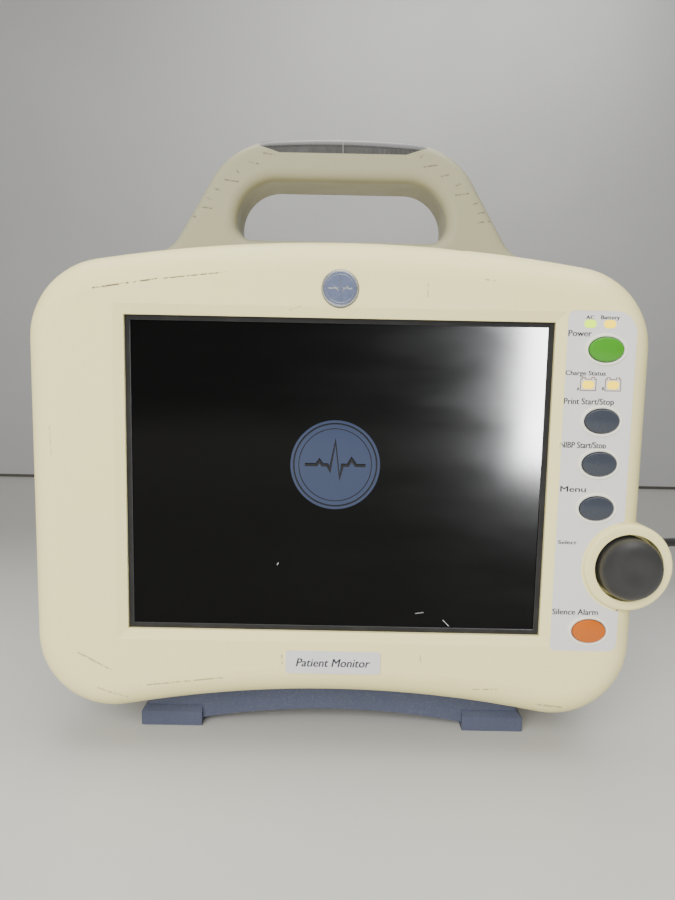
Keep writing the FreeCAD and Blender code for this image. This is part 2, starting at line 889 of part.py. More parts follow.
for name, front in FEET.items():
    part(name, group([foot(name, side, front) for side in (-1, 1)], name))
part("foot_pads", group(pads, "foot_pads"))
cradle_full = join(cradle_blocks, "cradle_full")
part("base_cradle", cut(cradle_full, [arch_tool, *stand_holes, *case_whole], "base_cradle"))

# ---------------------------------------------------------------- openings and doors

rear_shell = cut(rear_outer, rear_inner, "rear_shell")


def side_box(prefix, gap, name):
    """The box that a side door is cut from the case with; its gap is left free all round."""
    return block(
        120, f"{prefix}_front + {gap}", level(f"{prefix}_low + {prefix}_tall / 2"), 36,
        f"{prefix}_deep - 2 * {gap}", f"{prefix}_tall - 2 * {gap}", name,
    )


# The two hinge lines along Y: across, and above the aperture's centre
HINGES = {"door": (131.9, -1.5), "hatch": (126.8, -91.6)}
BARREL, PIN = 2.1, 0.9


def knuckles(prefix, on_case, name):
    """The barrels of a hinge along Y, each with the leaf that joins it to the case or to the door."""
    x, z = HINGES[prefix]
    spans = [(2, "10"), (f"{prefix}_deep - 12", "10")] if on_case else [(12.4, f"{prefix}_deep - 24.8")]
    made = []
    for start, length in spans:
        front = f"{prefix}_front + {start}"
        made.append(rod(x, front, level(z), BARREL, length, name=name))
        if on_case:
            made.append(block(x - 3.5, front, level(z - 2), 7, length, 3.2, name + "_leaf"))
        else:
            made.append(block(x - 2.8, front, level(z + 3.6), 5.6, length, 3.6, name + "_leaf"))
    return made


def hinge_bore(prefix, name):
    """The hole for a hinge's pin, along the whole hinge."""
    x, z = HINGES[prefix]
    return rod(x, f"{prefix}_front + 1", level(z), PIN + 0.15, f"{prefix}_deep - 2", name=name)


vents = [
    block(x, "case_back - wall - 1", level(22), 3, "wall + 2", 48, "vent") for x in range(-52, 53, 8)
]
speaker_slots = [
    block(x, 82, level(-99), 2.4, 26, 12, "speaker_slot") for x in (-60, -54, -48, -42, -36)
]
rear_screws_at = [(side * 108, z) for side in (-1, 1) for z in (58, -72)]
through_back = "case_back - wall - 1"
case_tools = [
    side_box("door", 0, "door_opening"),
    side_box("hatch", 0, "hatch_opening"),
    block("outlet_across", through_back, level("outlet_level"), "outlet_wide", "wall + 2", "outlet_tall"),
    block(-128, "socket_front", level("socket_level"), 12, "socket_deep", "socket_tall", "socket_opening"),
    *vents,
    *speaker_slots,
]
for x, z in rear_screws_at:
    case_tools.append(rod(x, through_back, level(z), 1.8, "wall + 2", name="screw_hole"))
    case_tools.append(rod(x, "case_back - 1.4", level(z), 3.8, 2, name="screw_sink"))
rear_full = join(
    [
        cut(rear_shell, case_tools, "rear_open"),
        *knuckles("door", True, "door_barrel"),
        *knuckles("hatch", True, "hatch_barrel"),
    ],
    "rear_full",
)
part(
    "rear_housing",
    cut(rear_full, [hinge_bore("door", "door_bore"), hinge_bore("hatch", "hatch_bore")], "rear_housing"),
)
hinge_pins = [
    rod(x, f"{prefix}_front + 2", level(z), PIN, f"{prefix}_deep - 4", name="hinge_pin")
    for prefix, (x, z) in HINGES.items()
]
part("hinge_pins", group(hinge_pins, "hinge_pins"))
part(
    "case_screws",
    group(
        [
            join(
                [
                    rod(x, "case_back - 1.4", level(z), 3.5, 1.3, name="screw_head"),
                    rod(x, "case_back - 12", level(z), 1.5, 11, name="screw_shank"),
                ],
                "case_screw",
            )
            for x, z in rear_screws_at
        ],
        "case_screws",
    ),
)

platen_up = level("platen_level")
arms = [
    block(119.6, back, platen_up, 16, 2.4, 8, "platen_arm")
    for back in ("roll_front - 3.6", "roll_front + paper_wide + 2.2")
]
arm_bore = rod("platen_across", "roll_front - 5", platen_up, 1.9, 62, name="arm_bore")
paper_slot = block(128, "roll_front - 1", level("door_low + door_tall"), 12, 52, 4, "paper_slot")
latch_window = block(128, 86, level("latch_level - 1"), 12, 16, 8, "latch_window")
door_skin = meet(rear_shell, side_box("door", "door_gap", "door_box"), "door_skin")
door_open = cut(door_skin, [paper_slot, latch_window], "door_open")
door_full = join([door_open, *arms, *knuckles("door", False, "door_hinge")], "door_full")
part("recorder_door", cut(door_full, [arm_bore, hinge_bore("door", "door_bore")], "recorder_door"))
part(
    "recorder_latch",
    join(
        [
            plate(127.3, 86.4, level("latch_level"), 6.2, 15.2, 5.2, 0.8, "Y", "latch_cap"),
            block(123.75, 85, level("latch_level"), 1.5, 18, 8, "latch_flange"),
        ],
        "recorder_latch",
    ),
)
part(
    "platen_roller",
    join(
        [
            rod("platen_across", "roll_front - 0.6", platen_up, "platen_radius", "paper_wide + 1.2"),
            rod("platen_across", "roll_front - 3.6", platen_up, 1.5, "paper_wide + 8.2"),
        ],
        "platen_roller",
    ),
)
roll_up = level("roll_level")
part(
    "paper_roll",
    cut(
        rod("roll_across", "roll_front", roll_up, "roll_radius", "paper_wide", name="roll"),
        rod("roll_across", "roll_front - 1", roll_up, "roll_core", "paper_wide + 2", name="roll_bore"),
        "paper_roll",
    ),
)
part(
    "recorder_frame",
    join(
        [
            cut(
                block(99, 55, level(32.75), 49, 64, 62.5, "bucket"),
                [
                    block(101.6, 56.6, level(32.75), 51, 60.8, 59.3, "bucket_hollow"),
                    block(118.5, 54, level(58), 14, 66, 16, "bucket_notch"),
                ],
                "bucket_open",
            ),
            rod("roll_across", 56, roll_up, "roll_core - 0.6", "roll_front + paper_wide - 56"),
        ],
        "recorder_frame",
    ),
)
part(
    "battery_door",
    cut(
        join(
            [
                meet(rear_shell, side_box("hatch", "door_gap", "hatch_box"), "hatch_skin"),
                *knuckles("hatch", False, "hatch_hinge"),
            ],
            "hatch_full",
        ),
        hinge_bore("hatch", "hatch_bore"),
        "battery_door",
    ),
)
part(
    "battery_bay",
    cut(
        block(43, 50.5, level(-66.5), 150, 94, 45, "bay"),
        block(44.5, 52, level(-66.5), 150, 91, 42, "bay_hollow"),
        "battery_bay",
    ),
)

# ---------------------------------------------------------------- power supply, pump and speaker

part(
    "power_supply",
    join(
        [
            block(5, 160, level(20), 120, 1.6, 90, "power_board"),
            block(-25, 132, level(40), 44, 28.1, 36, "transformer"),
            rod(25, 130, level(48), 9, 30.1, name="capacitor"),
            rod(48, 130, level(48), 9, 30.1, name="capacitor"),
            block(30, 140, level(5), 50, 20.1, 26, "heat_sink"),
        ],
        "power_supply",
    ),
)
part(
    "cuff_pump",
    join(
        [
            rod("pump_across", 60, level(-70), 13, 62, name="pump_motor"),
            rod("pump_across", 90, level(-58), 2.5, 10, "Z", "pump_hose"),
            block(-88, 58, level(-40), 40, 46, 18, "manifold"),
        ],
        "cuff_pump",
    ),
)
part("speaker", rod("speaker_across", "speaker_front", level("speaker_level"), "speaker_radius", 12, "Z"))

# ---------------------------------------------------------------- patient sockets on the left side

# Each socket's places: back from the aperture, above its centre, outer radius and bore radius
SOCKETS = {
    "ecg_socket": [(76, 50, 12, 8.5)],
    "oximeter_socket": [(110, 50, 10, 6.5)],
    "temperature_socket": [(137, 50, 7.5, 4)],
    "pressure_sockets": [(72, 12, 9, 6), (97, 12, 9, 6)],
    "cuff_hose_socket": [(131, 12, 8, 4)],
}
panel_x = "-case_half - lip + wall + 0.75"
socket_holes = [
    rod(-120, back, level(z), radius, 12, "-X", "socket_hole")
    for places in SOCKETS.values()
    for back, z, radius, _ in places
]
part(
    "connector_panel",
    cut(
        block(panel_x, "socket_front - 3", level("socket_level"), 1.5, "socket_deep + 6", "socket_tall + 6"),
        [*socket_holes, rear_full],
        "connector_panel",
    ),
)
for name, places in SOCKETS.items():
    part(
        name,
        group(
            [
                cut(
                    rod(-121, back, level(z), radius, "case_half + lip - 121", "-X", "socket"),
                    rod(-122.5, back, level(z), hole, 10, "-X", "socket_bore"),
                    name,
                )
                for back, z, radius, hole in places
            ],
            name,
        ),
    )

# ---------------------------------------------------------------- rear panel

inlet_up, port_up = "inlet_level", level("port_level")
ports_back = "case_back - wall"
panel_blank = block(
    "outlet_across", f"{ports_back} - 1.5", level("outlet_level"), "outlet_wide + 6", 1.5, "outlet_tall + 6"
)
panel_sheet = cut(
    panel_blank,
    [
        block("inlet_across", "case_back - 10", inlet_up, 27.2, 10, 20, "inlet_hole"),
        block("network_across", "case_back - 10", port_up, 16.2, 10, 13.7, "network_hole"),
        block("aux_across", "case_back - 10", port_up, 30.8, 10, 12.2, "aux_hole"),
        rear_full,
    ],
    "panel_sheet",
)
stud = rod("stud_across", "case_back - 8", port_up, 3, 15.5, name="ground_stud")
stud_collar = rod("stud_across", ports_back, port_up, 6, 1.5, name="stud_collar")
part("rear_panel", join([panel_sheet, stud, stud_collar], "rear_panel"))

# The three contacts, from the inlet's middle: across and up
CONTACTS = ((-7, -2), (0, 2), (7, -2))
inlet_pins = [
    block(f"inlet_across + {step}", "case_back - 19.5", f"{inlet_up} + {rise}", 2, 15, 4, "inlet_pin")
    for step, rise in CONTACTS
]
part(
    "mains_inlet",
    join(
        [
            cut(
                join(
                    [
                        plate("inlet_across", ports_back, inlet_up, 50, 2.4, 22.5, 6, name="inlet_flange"),
                        block("inlet_across", "case_back - 28", inlet_up, 27, 25.2, 19.8, "inlet_body"),
                    ],
                    "inlet_full",
                ),
                block("inlet_across", "case_back - 19", inlet_up, 24.6, 20, 16.8, "inlet_cavity"),
                "inlet_open",
            ),
            *inlet_pins,
        ],
        "mains_inlet",
    ),
)
part(
    "network_socket",
    cut(
        block("network_across", "case_back - 18", port_up, 16, 17.4, 13.5, "network_shell"),
        block("network_across", "case_back - 12", port_up, 11.8, 13, 8.4, "network_cavity"),
        "network_socket",
    ),
)
part(
    "aux_socket",
    join(
        [
            block("aux_across", "case_back - 12", port_up, 30.6, 10.4, 12, "aux_shell"),
            cut(
                plate("aux_across", "case_back - 1.8", port_up, 17, 5.4, 8, 2, name="aux_rim"),
                plate("aux_across", "case_back - 1.6", port_up, 16, 6, 7, 1.6, name="aux_hollow"),
                "aux_ring",
            ),
        ],
        "aux_socket",
    ),
)

# ---------------------------------------------------------------- mains lead

slots = [
    block(f"inlet_across + {step}", "case_back - 20", f"{inlet_up} + {rise}", 2.8, 17, 4.8, "slot")
    for step, rise in CONTACTS
]
connector_nose = block("inlet_across", "case_back - 19", inlet_up, 24, 20, 16.2, "connector_nose")
part(
    "mains_connector",
    join(
        [
            cut(connector_nose, slots, "connector_front"),
            plate("inlet_across", "case_back", inlet_up, 28, 28, 21, 6, name="connector_body"),
            rod("inlet_across", "case_back + 27", inlet_up, 5, 17, name="connector_relief"),
        ],
        "mains_connector",
    ),
)


# The lead's route past the connector, chosen by hand: across, back from the aperture, above the table
LEAD = [
    (65, 224, 60),
    (65.5, 254, 59),
    (80, 284, 55),
    (112, 300, 50),
    (158, 290, 44),
    (200, 262, 39),
    (238, 243, 36),
    (292, 266, 34),
    (345, 275, 19),
    (397, 267.4, 3.6),
    (440, 267.4, 3.6),
]


def rounded_route(points):
    """Straight runs joined by tangent arcs, each as large as its two runs allow."""
    points = [Vector(*p) for p in points]
    edges, start, radii = [], points[0], []
    for before, corner, after in zip(points, points[1:], points[2:]):
        reach = 0.45 * min((corner - before).Length, (after - corner).Length)
        into, out = (corner - before).normalize(), (after - corner).normalize()
        half_turn = into.getAngle(out) / 2
        radius = reach / math.tan(half_turn)
        radii.append(radius)
        first, last = corner - into * reach, corner + out * reach
        inward = (out - into).normalize()
        middle = corner + inward * (radius / math.cos(half_turn) - radius)
        edges.append(Part.LineSegment(start, first).toShape())
        edges.append(Part.Arc(first, middle, last).toShape())
        start = last
    edges.append(Part.LineSegment(start, points[-1]).toShape())
    return Part.Wire(edges), radii


route, radii = rounded_route(LEAD)
print("lead radii", [round(r) for r in radii], "length", round(route.Length, 1))
thick = size("cord_radius")
ring = Part.Wire(Part.makeCircle(thick, Vector(*LEAD[0]), Vector(*LEAD[1]) - Vector(*LEAD[0])))
tube = route.makePipeShell([ring], True, False)
print("lead volume ratio", round(tube.Volume / (math.pi * thick**2 * route.Length), 4))
part("mains_cord", fixed(tube, "mains_cord"))

coil_x, coil_y = size("coil_across"), size("coil_back")
tail_run, relief_run, body_run, blade_run = 58, 17, 30, 17.5
relief_y = coil_y - tail_run
body_y = relief_y - relief_run + 1 - body_run
blade_y = body_y - blade_run + 0.5
end = LEAD[-1]
coil_ring = cut(
    rod("coil_across", "coil_back", 0.1, "coil_outer", "4 * cord_radius", "Z", "coil_drum"),
    rod("coil_across", "coil_back", -1, "coil_inner", "4 * cord_radius + 4", "Z", "coil_eye"),
    "coil_ring",
)
tail_x = coil_x + 42.95
tail_up = "0.1 + 3 * cord_radius"
coil = join(
    [
        coil_ring,
        rod(end[0], end[1], end[2], "cord_radius - 0.3", coil_x - end[0], "X", "coil_head"),
        rod(tail_x, coil_y, tail_up, "cord_radius - 0.3", tail_run, "-Y", "coil_tail"),
    ],
    "mains_coil",
)
part("mains_coil", coil)
part(
    "mains_plug",
    join(
        [
            rod(tail_x, relief_y, tail_up, 5, relief_run, "-Y", "plug_relief"),
            plate(tail_x, body_y, tail_up, 27, body_run, 21, 6, name="plug_body"),
            block(tail_x - 6.4, blade_y, f"{tail_up} + 2", 1.5, blade_run, 6.3, "blade"),
            block(tail_x + 6.4, blade_y, f"{tail_up} + 2", 1.5, blade_run, 6.3, "blade"),
            rod(tail_x, body_y + 0.5, f"{tail_up} - 5", 2.4, blade_run + 2.5, "-Y", "earth_pin"),
        ],
        "mains_plug",
    ),
)

# ---------------------------------------------------------------- check and write

doc.recompute()
for made in doc.Objects:
    if {"Invalid", "Error"} & set(made.State):
        raise RuntimeError(f"{made.Label} ({made.Name}) failed: {made.State}")
for label, made in parts.items():
    if made.Shape.isNull() or not made.Shape.isValid() or not made.Shape.Solids:
        raise RuntimeError(f"{label} is not a valid solid")

os.makedirs(OUT, exist_ok=True)
for label, made in parts.items():
    made.Shape.exportStep(os.path.join(OUT, label + ".step"))
    box = made.Shape.BoundBox
    spans = ((box.XMin, box.XMax), (box.YMin, box.YMax), (box.ZMin, box.ZMax))
    reach = ", ".join(f"{axis} {low:.1f}..{high:.1f}" for axis, (low, high) in zip("xyz", spans))
    print(f"{label}: {len(made.Shape.Solids)} solid(s), {made.Shape.Volume / 1000:.2f} cm3, {reach}")
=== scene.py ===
# %% [markdown]
# # A bedside patient monitor
#
# The monitor's hard parts come ready made from the CAD model: shells, handle, feet, doors and sockets, each
# in its true place. These cells add what CAD leaves plain: domed keys, the turned knob, the badge, printed
# words, the mains lead and every finish. All lengths are metres, +Z is up and the screen looks along -Y.

import math

import bmesh
import bpy
import numpy as np
from mathutils import Matrix, Vector


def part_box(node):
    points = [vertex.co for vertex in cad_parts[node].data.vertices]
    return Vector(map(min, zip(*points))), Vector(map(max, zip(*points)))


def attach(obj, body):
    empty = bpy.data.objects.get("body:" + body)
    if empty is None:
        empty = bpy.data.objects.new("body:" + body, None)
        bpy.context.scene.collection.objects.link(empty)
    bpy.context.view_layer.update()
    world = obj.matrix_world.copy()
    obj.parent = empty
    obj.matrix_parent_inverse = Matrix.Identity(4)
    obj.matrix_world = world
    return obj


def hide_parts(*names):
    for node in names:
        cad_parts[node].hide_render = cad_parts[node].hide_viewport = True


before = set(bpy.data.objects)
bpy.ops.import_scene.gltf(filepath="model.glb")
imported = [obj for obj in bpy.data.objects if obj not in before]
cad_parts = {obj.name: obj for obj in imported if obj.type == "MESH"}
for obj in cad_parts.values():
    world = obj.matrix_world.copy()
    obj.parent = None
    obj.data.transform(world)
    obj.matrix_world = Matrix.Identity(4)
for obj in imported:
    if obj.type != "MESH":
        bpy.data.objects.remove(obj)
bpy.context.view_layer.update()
MM = 0.001

# %% [markdown]
# Everything on the front is laid out from the middle of the screen, as on a draughtsman's drawing, so the
# first thing to find is that point. The glass is a plain block, and its box gives it.

# %% Find the drawing's centre
glass_low, glass_high = (np.array(corner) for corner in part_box("display_window"))
CENTRE_X = (glass_low[0] + glass_high[0]) / 2
CENTRE_Z = (glass_low[2] + glass_high[2]) / 2
GLASS_Y = glass_low[1]
ZERO_Y = GLASS_Y - 0.8 * MM


def on_drawing(across, back, up):
    """Drawing millimetres, from the screen's middle and its aperture plane, to metres in the frame."""
    place = CENTRE_X + across * MM, ZERO_Y + back * MM, CENTRE_Z + up * MM
    return np.stack(np.broadcast_arrays(*place), axis=-1)


# The overlay's rims stand proud of its flat panel, so its box begins KEY_RIM in front of it.
KEY_RIM = 0.45
overlay_panel = (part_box("keypad_overlay")[0][1] - ZERO_Y) / MM + KEY_RIM
print("screen centre", round(CENTRE_X, 4), round(CENTRE_Z, 4), "panel front", round(overlay_panel, 2))

# %% [markdown]
# The viewer stands close, a little above the middle of the screen, and looks slightly down. A short lens at
# that distance gives the strong taper of the sides. The camera's own axes are written out, because a small
# roll is easier to state as a turn of right and up than as three angles.

# %% Place the camera
PITCH, YAW, ROLL = (math.radians(angle) for angle in (6.48, 0.03, 1.12))
EYE, LENS_MM = (-0.0062, -0.3649, 0.1650), 27.04


def camera_axes(pitch, yaw, roll):
    """Right, up and backward unit vectors: look along +Y, turn by yaw, nod down by pitch, then roll."""
    ahead = Vector((math.sin(yaw) * math.cos(pitch), math.cos(yaw) * math.cos(pitch), -math.sin(pitch)))
    level = Vector((math.cos(yaw), -math.sin(yaw), 0))
    above = level.cross(ahead)
    right = level * math.cos(roll) + above * math.sin(roll)
    up = above * math.cos(roll) - level * math.sin(roll)
    return right, up, -ahead


def added(name, data):
    """A new object with its data, linked into the scene."""
    made = bpy.data.objects.new(name, data)
    bpy.context.scene.collection.objects.link(made)
    return made


camera = added("camera", bpy.data.cameras.new("camera"))
camera.data.lens = LENS_MM
camera.data.sensor_width = 36
camera.data.clip_start = 0.01
turn = Matrix(camera_axes(PITCH, YAW, ROLL)).transposed()
camera.matrix_world = Matrix.Translation(EYE) @ turn.to_4x4()
bpy.context.scene.camera = camera
print("camera looks along", [round(part, 3) for part in -turn.col[2]])

# %% [markdown]
# A material here is a small graph of nodes. Three helpers keep the graphs short: one makes a node and sets
# its sockets, one gives a position in millimetres read from Object coordinates, and one opens a Principled
# material. Numbers that are the same all over a surface are set on the shader itself.

# %% Material helpers
def node(tree, kind, inputs=None, **settings):
    """Adds a node. An input is a socket to link or a plain value to set; settings are its properties."""
    made = tree.nodes.new(kind)
    for key, value in settings.items():
        setattr(made, key, value)
    for key, value in (inputs or {}).items():
        if isinstance(value, bpy.types.NodeSocket):
            tree.links.new(value, made.inputs[key])
        else:
            made.inputs[key].default_value = value
    return made


def maths(tree, operation, *values, clamp=False):
    """One Math node, as a socket: the operation on its values."""
    inputs = dict(enumerate(values))
    return node(tree, "ShaderNodeMath", inputs, operation=operation, use_clamp=clamp).outputs[0]


def vector_maths(tree, operation, *values, output=0):
    """One Vector Math node, as a socket."""
    return node(tree, "ShaderNodeVectorMath", dict(enumerate(values)), operation=operation).outputs[output]


def millimetres(tree):
    """The surface point in millimetres, from Object coordinates."""
    place = node(tree, "ShaderNodeTexCoord").outputs["Object"]
    return node(tree, "ShaderNodeMapping", {"Vector": place, "Scale": (1000, 1000, 1000)}).outputs[0]


def noise(tree, place, grain, detail=2.0, rough=0.5, stretch=(1, 1, 1)):
    """Noise whose lumps are about grain millimetres across, stretched along an axis where asked."""
    scale = tuple(part / grain for part in stretch)
    shrunk = node(tree, "ShaderNodeMapping", {"Vector": place, "Scale": scale})
    inputs = {"Vector": shrunk.outputs[0], "Scale": 1.0, "Detail": detail, "Roughness": rough}
    return node(tree, "ShaderNodeTexNoise", inputs).outputs["Fac"]


def ramp(tree, value, low, high, to_low=0.0, to_high=1.0):
    """Maps low..high to to_low..to_high with a smooth step, held at both ends."""
    inputs = {"Value": value, "From Min": low, "From Max": high, "To Min": to_low, "To Max": to_high}
    return node(tree, "ShaderNodeMapRange", inputs, interpolation_type="SMOOTHSTEP").outputs[0]


def blend_colours(tree, amount, first, second):
    """Mix of two colours by an amount from 0, first, to 1, second."""
    mixer = tree.nodes.new("ShaderNodeMix")
    mixer.data_type = "RGBA"
    for socket, value in ((mixer.inputs[0], amount), (mixer.inputs[6], first), (mixer.inputs[7], second)):
        if isinstance(value, bpy.types.NodeSocket):
            tree.links.new(value, socket)
        else:
            socket.default_value = value if isinstance(value, float) else (*value, 1.0)[:4]
    return mixer.outputs[2]


def principled(name, colour=(0.5, 0.5, 0.5), roughness=0.5, **sockets):
    """A new Principled material, with its tree and its shader."""
    material = bpy.data.materials.new(name)
    material.use_nodes = True
    tree = material.node_tree
    shader = tree.nodes["Principled BSDF"]
    shader.inputs["Base Color"].default_value = (*colour, 1.0)
    shader.inputs["Roughness"].default_value = roughness
    for key, value in sockets.items():
        shader.inputs[key.replace("_", " ")].default_value = value
    material.diffuse_color = (*colour, 1.0)
    return material, tree, shader


def wire(tree, shader, **sockets):
    """Links each socket to the shader's input of that name."""
    for key, socket in sockets.items():
        tree.links.new(socket, shader.inputs[key.replace("_", " ")])


def relief(tree, shader, height, depth):
    """Bump from a height socket, depth in millimetres."""
    inputs = {"Height": height, "Distance": depth * MM, "Strength": 1.0}
    tree.links.new(node(tree, "ShaderNodeBump", inputs).outputs[0], shader.inputs["Normal"])


# %% [markdown]
# Years of ward use leave dark rub marks and pale scratches on ivory plastic. A scratch is drawn as the
# distance from the surface point to a short straight segment: near it the mask is 1, away from it 0. Noise
# breaks it, so that it looks dragged and not ruled.

# %% Wear marks
# Marks are drawn on the front only: they fade out between these two depths.
WORN_DEPTH = ((ZERO_Y / MM) + 40.0, (ZERO_Y / MM) + 44.0)


def near_segment(tree, place, start, end, width):
    """1 on the segment, 0 beyond its width: |p - a - (b - a) clamp((p - a).(b - a) / |b - a|^2)| / width."""
    along = [b - a for a, b in zip(start, end)]
    offset = vector_maths(tree, "SUBTRACT", place, start)
    share = maths(tree, "DIVIDE", vector_maths(tree, "DOT_PRODUCT", offset, tuple(along), output=1),
                  sum(part * part for part in along), clamp=True)
    step = node(tree, "ShaderNodeVectorMath", {0: tuple(along), "Scale": share}, operation="SCALE").outputs[0]
    gap = vector_maths(tree, "LENGTH", vector_maths(tree, "SUBTRACT", offset, step), output=1)
    return ramp(tree, gap, 0.25 * width, width, 1.0, 0.0)


def wear_mask(tree, place, marks, broken=0.5):
    """The strongest of several marks at each point, each broken by noise and scaled by its own strength."""
    torn = ramp(tree, noise(tree, place, 1.6, 3.0, 0.7), broken - 0.09, broken + 0.07)
    facing = ramp(tree, vector_maths(tree, "DOT_PRODUCT", place, (0, 1, 0), output=1), *WORN_DEPTH, 1.0, 0.0)
    torn = maths(tree, "MULTIPLY", torn, facing)
    place = vector_maths(tree, "MULTIPLY", place, (1, 0, 1))
    mask = None
    for start, end, width, strength in marks:
        mark = maths(tree, "MULTIPLY", near_segment(tree, place, start, end, width), strength)
        mask = mark if mask is None else maths(tree, "MAXIMUM", mask, mark)
    return maths(tree, "MULTIPLY", mask, torn)


def mark(from_x, from_up, to_x, to_up, width, strength):
    """A wear mark between two points of the drawing, seen from the front, in millimetres of the frame."""
    start, end = ((CENTRE_X / MM + x, 0.0, CENTRE_Z / MM + up)
                  for x, up in ((from_x, from_up), (to_x, to_up)))
    return start, end, width, strength


# %% [markdown]
# Moulded plastic is never one flat colour. The mould leaves a fine spark-eroded grain, the resin clouds a
# little, old parts yellow unevenly, and dust sits in the grain. One function makes them all, and each part
# of the case asks for its own colour, grain, gloss, speckle and marks.

# %% Moulded plastic
def moulded(name, colour, roughness=0.45, grain=0.55, depth=0.045, cloud=0.06, tint=None, speckle=None,
            marks=None, broken=0.5, mark_colour=(0.10, 0.085, 0.06), coat=0.0):
    """Plastic: clouds towards tint, grain as bump, speckle as small dots, marks as broken dark wear."""
    material, tree, shader = principled(name, colour, roughness, Coat_Weight=coat, Coat_Roughness=0.15)
    place = millimetres(tree)
    tint = tint or tuple(part * 0.86 for part in colour)
    clouds = ramp(tree, noise(tree, place, 38.0, 3.0), 0.3, 0.7, 0.0, min(1.0, cloud * 6))
    paint = blend_colours(tree, clouds, colour, tint)
    fine = noise(tree, place, grain, 2.0, 0.6)
    dirt = ramp(tree, fine, 0.36, 0.56, cloud * 1.2, 0.0)
    paint = blend_colours(tree, dirt, paint, tuple(part * 0.45 for part in colour))
    if speckle:
        dot_size, amount, dot_colour = speckle
        dots = ramp(tree, noise(tree, place, dot_size, 1.0), 0.60, 0.66, 0.0, amount)
        paint = blend_colours(tree, dots, paint, dot_colour)
    gloss = ramp(tree, noise(tree, place, 11.0, 4.0), 0.3, 0.7, roughness - 0.05, roughness + 0.07)
    if marks:
        worn = wear_mask(tree, place, marks, broken)
        paint = blend_colours(tree, worn, paint, mark_colour)
        gloss = maths(tree, "ADD", gloss, maths(tree, "MULTIPLY", worn, 0.2))
    wire(tree, shader, Base_Color=paint, Roughness=gloss)
    relief(tree, shader, fine, depth)
    return material


def brushed_steel(name, colour=(0.55, 0.55, 0.57), stretch=(0.05, 1, 1), roughness=0.32):
    """Plated steel: long fine noise along one axis in roughness and bump, and slow stains in the colour."""
    material, tree, shader = principled(name, colour, roughness, Metallic=1.0)
    place = millimetres(tree)
    lines = noise(tree, place, 0.35, 2.0, 0.6, stretch)
    stain = ramp(tree, noise(tree, place, 16.0, 3.0), 0.35, 0.7, 0.0, 0.3)
    gloss = ramp(tree, lines, 0.3, 0.7, roughness - 0.08, roughness + 0.14)
    paint = blend_colours(tree, stain, colour, tuple(part * 0.75 for part in colour))
    wire(tree, shader, Base_Color=paint, Roughness=gloss)
    relief(tree, shader, lines, 0.012)
    return material


def rubber(name, colour=(0.022, 0.022, 0.024), roughness=0.62, grain=0.5):
    """Matt rubber: fine grain, a dusty bloom and a little sheen."""
    material, tree, shader = principled(name, colour, roughness, Sheen_Weight=0.12, Sheen_Roughness=0.5)
    place = millimetres(tree)
    fine = noise(tree, place, grain, 3.0, 0.6)
    bloom = ramp(tree, noise(tree, place, 9.0, 4.0), 0.4, 0.75, 0.0, 0.35)
    paint = blend_colours(tree, bloom, colour, tuple(part * 2.2 + 0.008 for part in colour))
    gloss = ramp(tree, fine, 0.3, 0.7, roughness - 0.1, roughness + 0.1)
    wire(tree, shader, Base_Color=paint, Roughness=gloss)
    relief(tree, shader, fine, 0.03)
    return material


# %% [markdown]
# The front shell is the warm ivory of old ward plastic; the rear shell and the handle are greyer, and the
# cradle is slate blue with a pale fleck. Most marks are where a monitor gets knocked: the upper left of the
# bezel, both lower corners and the handle's shoulders.

# %% Case plastics
bezel_marks = [mark(*row) for row in (
    (-98.5, 75.4, -72.0, 79.6, 0.50, 0.95), (-74.0, 79.2, -45.3, 82.6, 0.42, 0.90),
    (-78.8, -89.9, -46.7, -86.1, 0.50, 0.60), (-108.0, -76.0, -94.0, -83.5, 0.70, 0.50),
    (-100.0, -91.5, -88.0, -96.0, 0.60, 0.45), (87.6, -96.0, 98.3, -97.2, 0.80, 0.55),
    (60.0, -89.4, 70.0, -89.0, 0.50, 0.60), (-117.5, 20.0, -117.0, 8.0, 0.40, 0.35),
    (34.9, 79.5, 34.9, 74.5, 0.40, 0.45), (58.0, 81.6, 61.5, 81.2, 0.60, 0.50),
    (-13.9, 70.4, -20.0, 68.2, 0.45, 0.30), (118.6, -52.2, 119.1, -54.6, 0.60, 0.95),
    (111.2, 61.5, 111.6, 57.0, 0.30, 0.25), (-21.8, -75.6, -21.4, -79.0, 0.60, 0.60),
    (36.8, -74.6, 37.0, -77.4, 0.45, 0.45),
)]
# The handle draws in as it rises: its reach falls with the height above its foot, and faster higher up.
HANDLE_FOOT = 112.0
handle_marks = []
for side in (-1, 1):
    for index in range(8):
        lift = HANDLE_FOOT + 3.9 * index
        reach = 66.2 - 0.62 * (lift - HANDLE_FOOT) - 0.019 * (lift - HANDLE_FOOT) ** 2
        length = 3.4 + 2.6 * math.sin(2.3 * index + side)
        handle_marks.append(mark(side * reach, lift, side * (reach - length), lift - 0.8, 0.5, 0.85))
front_ivory = moulded("front_ivory", (0.830, 0.755, 0.375), 0.40, 0.6, 0.05, 0.05, (0.815, 0.725, 0.310),
                      marks=bezel_marks, broken=0.47)
rear_ivory = moulded("rear_ivory", (0.68, 0.645, 0.535), 0.46, 0.6, 0.06, 0.06)
handle_grey = moulded("handle_grey", (0.300, 0.288, 0.190), 0.38, 0.55, 0.04, 0.05, (0.32, 0.30, 0.185),
                      marks=handle_marks, broken=0.48)
cradle_blue = moulded("cradle_blue", (0.064, 0.074, 0.118), 0.46, 0.7, 0.07, 0.06,
                      speckle=(0.55, 0.30, (0.15, 0.17, 0.23)))
print("case plastics:", front_ivory.name, rear_ivory.name, handle_grey.name, cradle_blue.name)

# %% [markdown]
# The rest of the finishes: knob and keys in their colours, a silk-matt membrane, dark sockets, circuit boards
# with their copper tracks under green lacquer, the smoky lens and the glass.

